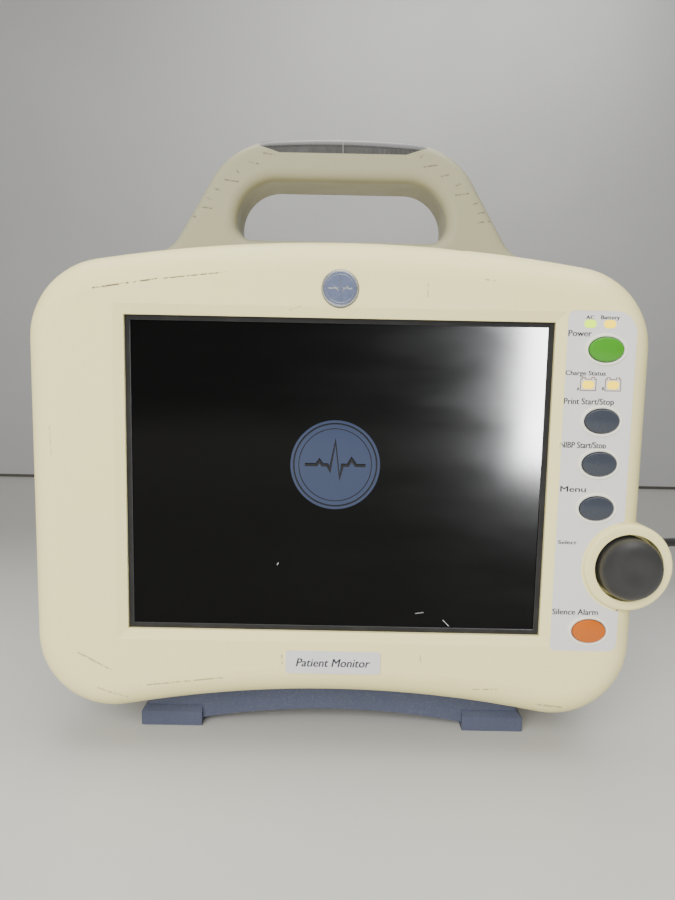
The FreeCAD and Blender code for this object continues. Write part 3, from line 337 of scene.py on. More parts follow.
# %% Small plastics and rubbers
knob_grey = moulded("knob_grey", (0.025, 0.025, 0.026), 0.44, 0.45, 0.04, 0.05, (0.033, 0.033, 0.033))
key_colours = {
    "green": (0.046, 0.255, 0.010),
    "slate": (0.035, 0.041, 0.056),
    "orange": (0.470, 0.105, 0.0),
}
key_plastic = {
    word: moulded(f"key_{word}", colour, 0.30, 0.35, 0.018, 0.04, coat=0.25)
    for word, colour in key_colours.items()
}
membrane = moulded("membrane", (0.640, 0.640, 0.625), 0.46, 0.28, 0.02, 0.03, (0.60, 0.60, 0.595))
rim_ivory = moulded("rim_ivory", (0.82, 0.80, 0.66), 0.35, 0.4, 0.015, 0.03)
dark_plastic = moulded("dark_plastic", (0.035, 0.036, 0.040), 0.5, 0.5, 0.05)
black_plastic = moulded("black_plastic", (0.016, 0.016, 0.018), 0.42, 0.45, 0.035)
battery_plastic = moulded("battery_plastic", (0.055, 0.060, 0.075), 0.5, 0.6, 0.05)
socket_grey = moulded("socket_grey", (0.20, 0.21, 0.23), 0.5, 0.5, 0.04)
socket_plastic = {
    port: moulded(f"socket_{word}", colour, 0.32, 0.4, 0.02)
    for port, word, colour in (
        ("ecg_socket", "green", (0.04, 0.30, 0.10)), ("oximeter_socket", "blue", (0.03, 0.09, 0.42)),
        ("pressure_sockets", "red", (0.50, 0.03, 0.03)), ("temperature_socket", "brown", (0.11, 0.05, 0.022)),
    )
}
pad_rubber = rubber("pad_rubber", (0.03, 0.03, 0.032))
gasket_rubber = rubber("gasket_rubber", (0.012, 0.012, 0.013), 0.55)
platen_rubber = rubber("platen_rubber", (0.04, 0.04, 0.042), 0.6)
steel = brushed_steel("plated_steel")
screw_steel = brushed_steel("screw_steel", (0.42, 0.42, 0.43), (1, 1, 1), 0.3)
ink = principled("printed_ink", (0.030, 0.032, 0.040), 0.5)[0]
print("small finishes ready:", len(bpy.data.materials))


# %% Circuit board
def circuit_board():
    """Green lacquer over tracks: cell edges of a Voronoi pattern make the copper, small cells the pads."""
    material, tree, shader = principled("circuit_board", (0.012, 0.11, 0.045), 0.35, Coat_Weight=0.4)
    place = millimetres(tree)
    cells = node(tree, "ShaderNodeMapping", {"Vector": place, "Scale": (0.22, 0.22, 0.22)}).outputs[0]
    tracks = node(tree, "ShaderNodeTexVoronoi", {"Vector": cells, "Scale": 1.0}, distance="CHEBYCHEV")
    line = ramp(tree, tracks.outputs["Distance"], 0.42, 0.46)
    paint = blend_colours(tree, line, (0.012, 0.11, 0.045), (0.03, 0.24, 0.09))
    pads = node(tree, "ShaderNodeTexVoronoi", {"Vector": cells, "Scale": 2.4}).outputs["Distance"]
    paint = blend_colours(tree, ramp(tree, pads, 0.10, 0.13, 1.0, 0.0), paint, (0.62, 0.56, 0.34))
    wire(tree, shader, Base_Color=paint)
    relief(tree, shader, line, 0.06)
    return material


board_green = circuit_board()


# %% Paper roll
def rolled_paper():
    """White thermal paper: on the roll's ends, rings a fraction of a millimetre apart about its axis."""
    material, tree, shader = principled("thermal_paper", (0.82, 0.82, 0.80), 0.6)
    low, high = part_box("paper_roll")
    axis = tuple(((a + b) / 2) / MM for a, b in zip(low, high))
    offset = vector_maths(tree, "SUBTRACT", millimetres(tree), axis)
    flat = vector_maths(tree, "MULTIPLY", offset, (1, 0, 1))
    radius = vector_maths(tree, "LENGTH", flat, output=1)
    rings = maths(tree, "SINE", maths(tree, "MULTIPLY", radius, 9.0))
    paint = blend_colours(tree, ramp(tree, rings, -1, 1, 0.0, 0.35), (0.82, 0.82, 0.80), (0.60, 0.60, 0.59))
    wire(tree, shader, Base_Color=paint)
    relief(tree, shader, rings, 0.05)
    return material


paper = rolled_paper()


# %% [markdown]
# The screen is off but for its emblem, so it is a dark mirror with a soft anti-glare bloom. The bloom is the
# roughness; a thin film of wipe marks and three small scratches keep it from being perfect. The alarm lens is
# smoky plastic over a light board, a little clear and softly glossy.

# %% Glass and lens
def screen_glass():
    """Near-black glass with a hazy face; wipes change the roughness, scratches are bright and short."""
    material, tree, shader = principled("screen_glass", (0.002, 0.002, 0.002), 0.13, Specular_IOR_Level=0.10)
    place = millimetres(tree)
    wipes = noise(tree, place, 30.0, 4.0, 0.6, (0.4, 1, 1.6))
    scratches = wear_mask(tree, place, [
        mark(46.5, -60.2, 49.0, -62.8, 0.24, 1.0),
        mark(38.0, -57.0, 34.6, -57.5, 0.24, 0.8),
        mark(-24.0, -36.6, -24.3, -37.4, 0.3, 1.0),
    ], 0.36)
    scuffed = maths(tree, "MULTIPLY", scratches, 0.3)
    gloss = maths(tree, "ADD", ramp(tree, wipes, 0.3, 0.7, 0.12, 0.15), scuffed)
    paint = blend_colours(tree, scratches, (0.002, 0.002, 0.002), (0.30, 0.30, 0.31))
    wire(tree, shader, Base_Color=paint, Roughness=gloss)
    return material


def smoky_lens():
    """Tinted plastic with moulded ribs across it, and a little light passing through."""
    material, tree, shader = principled("smoky_lens", (0.055, 0.055, 0.054), 0.18, Transmission_Weight=0.25,
                                        Coat_Weight=0.5, Coat_Roughness=0.08, IOR=1.49)
    place = millimetres(tree)
    across = node(tree, "ShaderNodeSeparateXYZ", {0: place}).outputs[0]
    ribs = maths(tree, "SINE", maths(tree, "MULTIPLY", across, 3.1))
    wire(tree, shader, Roughness=ramp(tree, noise(tree, place, 6.0, 4.0), 0.3, 0.7, 0.14, 0.26))
    relief(tree, shader, ribs, 0.02)
    return material


def lit_pipe():
    """Pipes that glow in the colour of their lamps: yellow-green for the mains, yellow for the batteries."""
    material, tree, shader = principled("lit_pipe", (0.75, 0.70, 0.08), 0.3, Emission_Strength=1.15)
    across = node(tree, "ShaderNodeSeparateXYZ", {0: millimetres(tree)})
    is_battery = ramp(tree, across.outputs[0], (CENTRE_X / MM) + 103.2, (CENTRE_X / MM) + 105.2)
    is_low = ramp(tree, across.outputs[2], (CENTRE_Z / MM) + 50.0, (CENTRE_Z / MM) + 54.0, 1.0, 0.0)
    yellow = maths(tree, "MAXIMUM", is_battery, is_low)
    glow = blend_colours(tree, yellow, (0.56, 0.86, 0.004), (0.98, 0.68, 0.004))
    wire(tree, shader, Emission_Color=glow, Base_Color=glow)
    return material


glass = screen_glass()
lens_plastic = smoky_lens()
light_pipe = lit_pipe()


def silver_label():
    """A metallised label: fine horizontal brushing under a satin film."""
    material, tree, shader = principled("silver_label", (0.66, 0.665, 0.655), 0.38, Metallic=0.20,
                                        Coat_Weight=0.3)
    place = millimetres(tree)
    lines = noise(tree, place, 0.2, 2.0, 0.6, (0.03, 1, 1))
    gloss = ramp(tree, lines, 0.3, 0.7, 0.32, 0.48)
    paint = blend_colours(tree, ramp(tree, lines, 0.3, 0.7), (0.64, 0.645, 0.635), (0.71, 0.715, 0.70))
    wire(tree, shader, Base_Color=paint, Roughness=gloss)
    relief(tree, shader, lines, 0.006)
    return material


label_silver = silver_label()
print("materials", len(bpy.data.materials))

# %% [markdown]
# CAD nodes keep their shape and take their finish through their material slots. One table says which finish
# each node wears; loops over names that repeat keep it short.

# %% Dress the CAD nodes
finishes = {
    "front_bezel": front_ivory,
    "rear_housing": rear_ivory, "recorder_door": rear_ivory, "battery_door": rear_ivory,
    "handle_front_shell": handle_grey, "handle_rear_shell": handle_grey,
    "alarm_lens_left": lens_plastic, "alarm_lens_right": lens_plastic,
    "base_cradle": cradle_blue, "front_feet": cradle_blue, "rear_feet": cradle_blue,
    "recorder_latch": cradle_blue,
    "foot_pads": pad_rubber, "display_gasket": gasket_rubber, "platen_roller": platen_rubber,
    "keypad_overlay": membrane, "name_plate": label_silver, "display_window": glass,
    "status_light_pipes": light_pipe, "paper_roll": paper, "connector_panel": socket_grey,
    "case_screws": screw_steel, "battery_a": battery_plastic, "battery_b": battery_plastic, **socket_plastic,
}
for words, material in (
    (("alarm_light_board", "button_board", "main_board", "power_supply"), board_green),
    (("encoder_body", "encoder_plunger", "encoder_shaft", "chassis_frame", "cuff_hose_socket", "battery_bay",
      "hinge_pins", "lcd_panel", "rear_panel", "aux_socket"), steel),
    (("patient_module", "cuff_pump", "speaker", "recorder_frame", "print_head"), dark_plastic),
    (("mains_inlet", "network_socket", "mains_connector", "mains_plug"), black_plastic),
):
    finishes.update(dict.fromkeys(words, material))


def dress(name, material):
    """Puts one finish in every material slot of a CAD node."""
    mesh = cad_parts[name].data
    mesh.materials.clear()
    mesh.materials.append(material)


for name, material in finishes.items():
    dress(name, material)
print("dressed", len(finishes), "left plain", sorted(set(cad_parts) - set(finishes)))

# %% [markdown]
# New pieces are surfaces on a grid: rows of points worked out as whole arrays, joined into four-sided faces.
# Where a row closes on itself the last column joins the first, and where a row shrinks to a point the doubled
# corners are merged. Normals are recalculated once, so that every face looks outwards.

# %% Grid surfaces
def grid_faces(rows, columns, start=0, closed=True):
    """Quads of a grid of points: each joins a point, the next in its row, and the two in the row above."""
    across = np.arange(columns if closed else columns - 1)
    after = (across + 1) % columns
    base = np.arange(rows - 1)[:, None] * columns + start
    quads = np.stack([base + across, base + after, base + columns + after, base + columns + across], axis=-1)
    return quads.reshape(-1, 4)


def surface(grids, closed=True):
    """Points and quads of several grids of shape rows x columns x 3, as one pair of arrays."""
    points, faces, count = [], [], 0
    for grid in grids:
        rows, columns = grid.shape[:2]
        points.append(grid.reshape(-1, 3))
        faces.append(grid_faces(rows, columns, count, closed))
        count += rows * columns
    return np.concatenate(points), np.concatenate(faces)


def piece(name, points, faces, material, body, slot, smooth=True, merge=1e-6):
    """A mesh object from arrays, its doubles merged and its faces outward, riding on a body."""
    mesh = bpy.data.meshes.new(name)
    mesh.from_pydata(points.tolist(), [], faces.tolist())
    tidy = bmesh.new()
    tidy.from_mesh(mesh)
    bmesh.ops.remove_doubles(tidy, verts=tidy.verts, dist=merge)
    bmesh.ops.dissolve_degenerate(tidy, edges=tidy.edges, dist=merge)
    bmesh.ops.recalc_face_normals(tidy, faces=tidy.faces)
    tidy.to_mesh(mesh)
    tidy.free()
    mesh.materials.append(material)
    mesh.shade_smooth() if smooth else mesh.shade_flat()
    if smooth:
        mesh.set_sharp_from_angle(angle=math.radians(38))
    made = added(name, mesh)
    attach(made, body)
    return made


# %% [markdown]
# The mains lead comes first, because its size has to agree with the CAD model. On the table it leaves its
# connector straight, drops, wanders past the side of the case, and what is left over lies beside the monitor
# in a flat coil with the moulded plug at its end. The line is a NURBS curve of order 3 through listed
# points, so it bends like cable and not like wire; the coil's turns are worked out by a formula.

# %% Lead: the route
LEAD = [
    (0.0588, 0.1365, 0.0600), (0.0593, 0.1665, 0.0590), (0.0738, 0.1965, 0.0550), (0.1058, 0.2125, 0.0500),
    (0.1518, 0.2025, 0.0440), (0.1938, 0.1745, 0.0390), (0.2318, 0.1555, 0.0360), (0.2858, 0.1785, 0.0340),
    (0.3388, 0.1875, 0.0190), (0.3908, 0.1799, 0.0036), (0.4338, 0.1799, 0.0036),
]
CORD_RADIUS = 0.0035
COIL_X, COIL_Y, FLOOR = 0.4738, 0.1275, 0.0036
OUTER_TURN, STEP_IN, FIRST_TURNS, CLIMB_TURNS, LAST_TURNS = 0.0524, 2 * CORD_RADIUS, 3.0, 0.6, 1.65


def coil_points(per_turn=16):
    """A flat spiral, clockwise from above: it winds in on the table, climbs a diameter, and winds out on top.

    The angle falls steadily; the radius falls a diameter a turn, holds while it climbs, then grows again.
    """
    turns = np.arange(0, (FIRST_TURNS + CLIMB_TURNS + LAST_TURNS) * per_turn + 1) / per_turn
    climb = np.clip((turns - FIRST_TURNS) / CLIMB_TURNS, 0, 1)
    outward = np.clip(turns - FIRST_TURNS - CLIMB_TURNS, 0, None)
    radius = OUTER_TURN - STEP_IN * np.minimum(turns, FIRST_TURNS) + STEP_IN * outward
    radius = radius - 0.0022 * np.sin(np.pi * climb)
    angle = np.pi / 2 - 2 * np.pi * turns
    height = FLOOR + 2 * CORD_RADIUS * (3 * climb**2 - 2 * climb**3)
    return np.stack([COIL_X + radius * np.cos(angle), COIL_Y + radius * np.sin(angle), height], axis=-1)


coil = coil_points()
tail = [(coil[-1][0], COIL_Y - step, coil[-1][2]) for step in (0.014, 0.030, 0.044, 0.058)]
route = np.concatenate([LEAD, coil, tail])
print("route points", len(route), "coil ends at", coil[-1].round(4))


# %% Lead: the jacket
def spline_curve(name, points, radius, material):
    """A tube of a radius along the order-3 NURBS curve of its control points, with closed ends."""
    curve = bpy.data.curves.new(name, "CURVE")
    curve.dimensions = "3D"
    line = curve.splines.new("NURBS")
    line.points.add(len(points) - 1)
    line.points.foreach_set("co", np.column_stack([points, np.ones(len(points))]).ravel())
    line.order_u = 3
    line.use_endpoint_u = True
    line.resolution_u = 6
    curve.bevel_depth = radius
    curve.bevel_resolution = 5
    curve.use_fill_caps = True
    curve.materials.append(material)
    return added(name, curve)


jacket = rubber("cord_jacket", (0.014, 0.014, 0.015), 0.42, 0.4)
lead = spline_curve("lead", route, CORD_RADIUS, jacket)
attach(lead, "housing")
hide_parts("mains_cord", "mains_coil")

# %% [markdown]
# The lead's two ends are moulded over it in soft black plastic. Each is a body whose section is a rounded
# box, drawn out along its length, followed by a strain relief: a cone with grooves round it, so that it
# bends little by little where the lead leaves. A superellipse gives the rounded box, and its power falls to
# 2, a circle, as the body runs out into the relief.

# %% Moulded ends
def loft(along, half_wide, half_tall, power, place, count=40):
    """Rings along a line: each point is (a sgn(c)|c|^(2/n), b sgn(s)|s|^(2/n)) for angle t, n its power."""
    angle = np.linspace(0, 2 * np.pi, count, endpoint=False)
    lean = 2 / np.asarray(power, float)[:, None]
    c, s = np.cos(angle)[None, :], np.sin(angle)[None, :]
    across = np.asarray(half_wide)[:, None] * np.sign(c) * np.abs(c) ** lean
    up = np.asarray(half_tall)[:, None] * np.sign(s) * np.abs(s) ** lean
    return place(across, np.broadcast_to(np.asarray(along)[:, None], across.shape), up)


def moulded_end(name, centre, way, body, taper, relief_span, thick, thin, slot_name):
    """A connector: a short rounded edge, the body, a shoulder easing to the relief, and its grooved cone."""
    (wide, tall), (start, end) = body
    edge = 0.0015
    swell = np.linspace(0, 1, 9)
    ease = 3 * swell**2 - 2 * swell**3
    along = [np.array([start, start]), start + edge * (1 - np.cos(swell * np.pi / 2))]
    half_wide = [np.array([0, wide - edge]), wide - edge + edge * np.sin(swell * np.pi / 2)]
    half_tall = [np.array([0, tall - edge]), tall - edge + edge * np.sin(swell * np.pi / 2)]
    power = [np.full(2, 5.0), np.full(9, 5.0)]
    grip = np.linspace(0.15, 0.85, 36)
    dents = 0.0006 * np.clip(np.sin(grip * np.pi * 12), 0, 1) * np.sin(grip * np.pi)
    along.append(start + grip * (end - start))
    half_wide.append(wide - dents)
    half_tall.append(np.full(36, tall))
    power.append(np.full(36, 5.0))
    along.append(end + swell * taper)
    half_wide.append(wide + (thick - wide) * ease)
    half_tall.append(tall + (thick - tall) * ease)
    power.append(5.0 - 3.0 * ease)
    cone = np.linspace(0.02, 1, 90)
    grooves = 0.0007 * (np.cos(cone * 2 * np.pi * 6) < -0.35) * (cone > 0.06) * (cone < 0.96)
    radius = thick + (thin - thick) * cone - grooves
    along.append(end + taper + cone * relief_span)
    half_wide.append(radius)
    half_tall.append(radius)
    power.append(np.full(90, 2.0))
    along.append(np.full(2, end + taper + relief_span))
    half_wide.append(np.array([thin - 0.0005, 0]))
    half_tall.append(np.array([thin - 0.0005, 0]))
    power.append(np.full(2, 2.0))

    def place(across, forward, up):
        return np.stack([centre[0] + across, centre[1] + way * forward, centre[2] + up], axis=-1)

    rings = loft(*(np.concatenate(part) for part in (along, half_wide, half_tall, power)), place)
    return piece(name, *surface([rings]), black_plastic, "housing", slot_name)


inlet_x, inlet_z = LEAD[0][0], LEAD[0][2]
face_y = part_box("mains_inlet")[1][1]
connector = moulded_end("connector_body", (inlet_x, face_y, inlet_z), 1, ((0.0140, 0.0105), (0.0006, 0.0160)),
                        0.0060, LEAD[0][1] - face_y - 0.0220, 0.0068, 0.0043, "black_plastic")
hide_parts("mains_connector")
plug_low, plug_high = (np.array(corner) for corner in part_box("mains_plug"))
plug_x, plug_z = coil[-1][0], coil[-1][2]
plug_end = plug_high[1]
body_start = plug_low[1] + 0.0175
plug = moulded_end("plug_body", (plug_x, body_start, plug_z), 1, ((0.0135, 0.0105), (0, 0.0200)),
                   0.0070, plug_end - body_start - 0.0270, 0.0062, 0.0043, "black_plastic")
print("connector and plug made:", len(connector.data.polygons), len(plug.data.polygons))


# %% Plug blades
def blade(centre, half_wide, half_tall, start, end, tip=0.0015):
    """A flat blade or a pin along -Y, its tip narrowed by a quarter ellipse over the tip length."""
    swell = np.sin(np.linspace(0, np.pi / 2, 6))
    reach = tip * (1 - np.cos(np.linspace(0, np.pi / 2, 6)))
    along = np.concatenate([[start], start + reach, [end, end]])
    shrink = np.concatenate([[0], 0.55 + 0.45 * swell, [1, 0]])

    def place(across, forward, up):
        return np.stack([centre[0] + across, forward, centre[1] + up], axis=-1)

    return loft(along, half_wide * shrink, half_tall * shrink, np.full(len(along), 6.0), place, 24)


blade_start, blade_end = plug_low[1], body_start + 0.0010
blades = surface([
    blade((plug_x - 0.0064, plug_z + 0.0020), 0.00075, 0.00315, blade_start, blade_end),
    blade((plug_x + 0.0064, plug_z + 0.0020), 0.00075, 0.00315, blade_start, blade_end),
    blade((plug_x, plug_z - 0.0050), 0.0024, 0.0024, blade_start, blade_end, 0.0024),
])
plug_blades = piece("plug_blades", *blades, steel, "housing", "steel")
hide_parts("mains_plug")

# %% [markdown]
# The keys are domed ovals of hard plastic. In section each is a shallow dome, a rounded edge, a straight
# side, a wide flange that keeps it behind the panel, and a thin stem down to its switch. The section is
# carried round an oval: every ring of the surface is the key's outline, shrunk or grown.

# %% Ovals carried round
FLANGE = 1.3


def drawing_box(name):
    """A CAD node's box on the drawing, in millimetres: across, back and up, low and high."""
    low, high = (np.array(corner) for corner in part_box(name))
    zero = np.array([CENTRE_X, ZERO_Y, CENTRE_Z])
    return (low - zero) / MM, (high - zero) / MM


def middle_of(low, high):
    """The middle of a box on the drawing, across and up."""
    return (low[0] + high[0]) / 2, (low[2] + high[2]) / 2


def oval_rings(section, middle, power=2.0, count=72):
    """Rings about a middle point on the drawing; a section row is half width, half height and depth."""
    half_wide, half_tall, back = np.array(section, float).T

    def place(across, depth, up):
        return on_drawing(middle[0] + across, depth, middle[1] + up)

    return loft(back, half_wide, half_tall, np.full(len(back), power), place, count)


def domed_key(name, body, material, slot_name):
    """Depth grows as the square of the distance from the crown's middle, then a quarter round to the side."""
    low, high = drawing_box(name)
    flange_wide, flange_tall = (high[0] - low[0]) / 2, (high[2] - low[2]) / 2
    wide, tall = flange_wide - FLANGE, flange_tall - FLANGE
    crown, edge, front = 0.45, 0.8, low[1]
    spread = np.linspace(0, 1, 12)
    section = [((wide - edge) * s, (tall - edge) * s, front - crown * (1 - s * s)) for s in spread]
    section += [(wide - edge + edge * math.sin(a), tall - edge + edge * math.sin(a),
                 front + edge * (1 - math.cos(a))) for a in np.linspace(0.15, math.pi / 2, 8)]
    section += [(wide, tall, 0.3), (flange_wide, flange_tall, 0.3), (flange_wide, flange_tall, 1.4),
                (2, 2, 1.4), (2, 2, high[1]), (0, 0, high[1])]
    rings = oval_rings(section, middle_of(low, high))
    made = piece(name.replace("_button", "_key_cap"), *surface([rings]), material, body, slot_name)
    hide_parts(name)
    return made


key_words = {"power": "green", "print": "slate", "pressure": "slate", "menu": "slate", "silence": "orange"}
for word, colour in key_words.items():
    domed_key(f"{word}_button", f"{word}_key", key_plastic[colour], f"key_{colour}")
print("keys", len(key_words))

# %% [markdown]
# Round each key the panel carries a low ivory bead. It is a half-round section swept round the key's oval,
# a hair wider than the CAD rim so that it covers it.

# %% Beads round the keys
def oval_bead(name, inner, wide, proud):
    """A ring whose section is half an ellipse: out from the inner edge, over the top, down to the panel."""
    low, high = drawing_box(name)
    half_wide, half_tall = (high[0] - low[0]) / 2 - FLANGE + inner, (high[2] - low[2]) / 2 - FLANGE + inner
    arch = np.linspace(0, math.pi, 10)
    section = [(half_wide + wide * (1 - math.cos(a)) / 2, half_tall + wide * (1 - math.cos(a)) / 2,
                overlay_panel - proud * math.sin(a)) for a in arch]
    under = overlay_panel + 0.2
    section += [(half_wide + wide, half_tall + wide, under), (half_wide, half_tall, under)]
    section.append(section[0])
    return oval_rings(section, middle_of(low, high))


beads = [oval_bead(f"{word}_button", 0.30, 1.3, 0.62) for word in key_words]
piece("key_beads", *surface(beads), rim_ivory, "housing", "overlay")

# %% [markdown]
# The knob is turned: one section, spun round its axis. Its nose is a shallow dish for a fingertip, and the
# shoulder round the dish is a wide quarter round.

# %% Turned knob
knob_low, knob_high = drawing_box("select_knob")
knob_middle = middle_of(knob_low, knob_high)
knob_radius, nose, knob_back = (knob_high[0] - knob_low[0]) / 2, knob_low[1], knob_high[1]
DISH, SHOULDER = 6.4, 6.5
knob_section = [(r, nose + 0.9 * (1 + math.cos(math.pi * r / DISH)) / 2) for r in np.linspace(0, DISH, 14)]
knob_section += [(knob_radius - SHOULDER + SHOULDER * math.sin(a), nose + SHOULDER * (1 - math.cos(a)))
                 for a in np.linspace(0.06, math.pi / 2, 16)]
knob_section += [(knob_radius, knob_back - 0.6), (knob_radius - 0.6, knob_back), (3.2, knob_back),
                 (3.2, nose + 4), (0, nose + 4)]
knob_rings = oval_rings([(r, r, y) for r, y in knob_section], knob_middle, count=96)
knob = piece("select_knob_cap", *surface([knob_rings]), knob_grey, "knob", "knob")
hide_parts("select_knob")
print("knob radius", round(knob_radius, 2), "at", [round(part, 1) for part in knob_middle])

# %% [markdown]
# Raised or printed lines, such as the trace on the badge, are strokes: a path on the drawing with a width.
# At each path point the side direction is the mean normal of its two runs, so corners stay mitred.

# %% Strokes
def stroke(path, wide, front, thick, closed=False, sides=8):
    """A half-round line along a path: offset across by w/2 cos a and forward by thickness sin a."""
    path = np.array(path, float)
    ahead = np.roll(path, -1, axis=0) - path
    behind = path - np.roll(path, 1, axis=0)
    if not closed:
        ahead[-1], behind[0] = behind[-1], ahead[0]
    unit = [run / np.linalg.norm(run, axis=1, keepdims=True) for run in (ahead, behind)]
    along = unit[0] + unit[1]
    along /= np.linalg.norm(along, axis=1, keepdims=True)
    stretch = 1 / np.clip((along * unit[0]).sum(axis=1, keepdims=True), 0.45, 1)
    side = np.stack([-along[:, 1], along[:, 0]], axis=1) * stretch
    arc = np.linspace(0, np.pi, sides)
    reach = np.concatenate([np.cos(arc), [-1, 1]]) * wide / 2
    depth = np.concatenate([front - thick * np.sin(arc), [front + 0.05, front + 0.05]])
    flat = path[:, None, :] + side[:, None, :] * reach[None, :, None]
    rings = on_drawing(flat[..., 0], np.broadcast_to(depth, flat.shape[:2]), flat[..., 1])
    if closed:
        return np.concatenate([rings, rings[:1]])
    ends = [np.broadcast_to(rings[index].mean(axis=0), rings[index].shape)[None] for index in (0, -1)]
    return np.concatenate([ends[0], rings, ends[1]])


def circle_path(middle, radius, count=64):
    """Points round a circle."""
    angle = np.linspace(0, 2 * np.pi, count, endpoint=False)
    return np.stack([middle[0] + radius * np.cos(angle), middle[1] + radius * np.sin(angle)], axis=1)


PULSE = [(-1.0, 0.0), (-0.62, 0.0), (-0.52, 0.14), (-0.42, 0.0), (-0.26, 0.0), (-0.17, -0.16), (0.0, 0.78),
         (0.15, -0.42), (0.24, 0.0), (0.42, 0.0), (0.54, 0.2), (0.68, 0.0), (1.0, 0.0)]


def pulse_path(middle, half):
    """One heartbeat, scaled from a unit trace to a half width and moved to its middle."""
    return np.array(middle) + np.array(PULSE) * half


# %% [markdown]
# The badge is a slate-blue enamel dome in a silver ring with a heartbeat across it. The same sign, larger,
# glows on the dark screen.

# %% Badge
def enamel():
    """Slate-blue enamel: two close blues clouded together under a clear coat."""
    material, tree, shader = principled("badge_enamel", (0.095, 0.118, 0.20), 0.25, Coat_Weight=0.8,
                                        Coat_Roughness=0.08)
    cloud = ramp(tree, noise(tree, millimetres(tree), 1.4, 3.0), 0.3, 0.7)
    paint = blend_colours(tree, cloud, (0.085, 0.107, 0.18), (0.11, 0.132, 0.215))
    wire(tree, shader, Base_Color=paint)
    return material


silver = brushed_steel("badge_silver", (0.80, 0.81, 0.83), (1, 1, 1), 0.26)
badge_low, badge_high = drawing_box("badge_disc")
badge_middle = middle_of(badge_low, badge_high)
badge_radius, badge_front, badge_back = (badge_high[0] - badge_low[0]) / 2, badge_low[1], badge_high[1]
dome = [(r, badge_front - 0.1 - 0.35 * (1 - (r / 6.6) ** 2)) for r in np.linspace(0, 6.6, 12)]
dome += [(7.3, badge_front + 0.35), (badge_radius, badge_front + 0.7), (badge_radius, badge_back),
         (0, badge_back)]
badge_rings = oval_rings([(r, r, y) for r, y in dome], badge_middle)
badge = piece("badge_dome", *surface([badge_rings]), enamel(), "housing", "badge")
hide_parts("badge_disc")
badge_lines = [
    stroke(circle_path(badge_middle, 6.75), 0.75, badge_front + 0.12, 0.42, closed=True),
    stroke(circle_path(badge_middle, 5.55), 0.22, badge_front - 0.14, 0.12, closed=True),
    stroke(pulse_path(badge_middle, 4.7), 0.62, badge_front - 0.30, 0.30),
]
piece("badge_lines", *surface(badge_lines), silver, "housing", "badge")


# %% Screen emblem
def lit_screen(name, colour, glow):
    """What the panel shows through the glass: a dim light of one colour under the same haze as the glass."""
    unlit = tuple(part * 0.15 for part in colour)
    material, tree, shader = principled(name, unlit, 0.16, Emission_Strength=glow)
    rows = node(tree, "ShaderNodeSeparateXYZ", {0: millimetres(tree)}).outputs[2]
    weave = maths(tree, "SINE", maths(tree, "MULTIPLY", rows, 24.0))
    paint = blend_colours(tree, ramp(tree, weave, -1, 1), colour, tuple(part * 0.86 for part in colour))
    wire(tree, shader, Emission_Color=paint)
    return material


EMBLEM, EMBLEM_RADIUS, GLASS_FRONT = (-0.7, 5.6), 18.6, 0.8
shown_blue = lit_screen("shown_blue", (0.105, 0.155, 0.33), 0.19)
shown_dark = lit_screen("shown_dark", (0.006, 0.008, 0.012), 0.4)
disc = [(0, GLASS_FRONT - 0.05), (EMBLEM_RADIUS, GLASS_FRONT - 0.05), (EMBLEM_RADIUS, GLASS_FRONT + 0.05),
        (0, GLASS_FRONT + 0.05)]
disc_rings = oval_rings([(r, r, y) for r, y in disc], EMBLEM, count=96)
piece("emblem_disc", *surface([disc_rings]), shown_blue, "housing", "display_glass")
emblem_lines = [
    stroke(circle_path(EMBLEM, 17.2, 96), 0.65, GLASS_FRONT - 0.05, 0.05, closed=True),
    stroke(circle_path(EMBLEM, 15.1, 96), 0.35, GLASS_FRONT - 0.05, 0.05, closed=True),
    stroke(pulse_path(EMBLEM, 12.6), 1.35, GLASS_FRONT - 0.05, 0.05),
]
piece("emblem_lines", *surface(emblem_lines), shown_dark, "housing", "display_glass")
print("badge and emblem made")

# %% [markdown]
# Words are printed beside the keys. Blender's own letter shapes are made a mesh, squeezed to a cap height
# and a width, given a hair of thickness and stood up on the panel, so that they face the viewer.

# %% Lettering
def words_mesh(text, lean=0.0):
    """A flat line of text as arrays of points and triangles or quads, in the font's own units."""
    letters = bpy.data.curves.new("letters", "FONT")
    letters.body = text
    letters.shear = lean
    letters.extrude = 0.02
    letters.resolution_u = 3
    carrier = added("letters", letters)
    bpy.context.view_layer.update()
    flat = bpy.data.meshes.new_from_object(carrier.evaluated_get(bpy.context.evaluated_depsgraph_get()))
    points = np.empty(len(flat.vertices) * 3)
    flat.vertices.foreach_get("co", points)
    faces = [tuple(face.vertices) for face in flat.polygons]
    bpy.data.objects.remove(carrier)
    bpy.data.curves.remove(letters)
    bpy.data.meshes.remove(flat)
    return points.reshape(-1, 3), faces


def lettering(name, lines, front, material, lean=0.0, bold=0.0, thick=0.04):
    """Places each line by its middle, base, width and cap height; a bold one is printed twice, a hair off."""
    all_points, all_faces, count = [], [], 0
    for text, middle_x, base_up, wide, tall in lines:
        points, faces = words_mesh(text, lean)
        for nudge in (-bold / 2, bold / 2) if bold else (0.0,):
            share = (points[:, 0] - points[:, 0].min()) / np.ptp(points[:, 0])
            across = middle_x + nudge + (wide - bold) * (share - 0.5)
            up = base_up + points[:, 1] / CAP_HEIGHT * tall
            all_points.append(on_drawing(across, front - thick * (points[:, 2] > 0), up))
            all_faces += [tuple(index + count for index in face) for face in faces]
            count += len(points)
    mesh = bpy.data.meshes.new(name)
    mesh.from_pydata(np.concatenate(all_points).tolist(), [], all_faces)
    mesh.materials.append(material)
    made = added(name, mesh)
    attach(made, "housing")
    return made


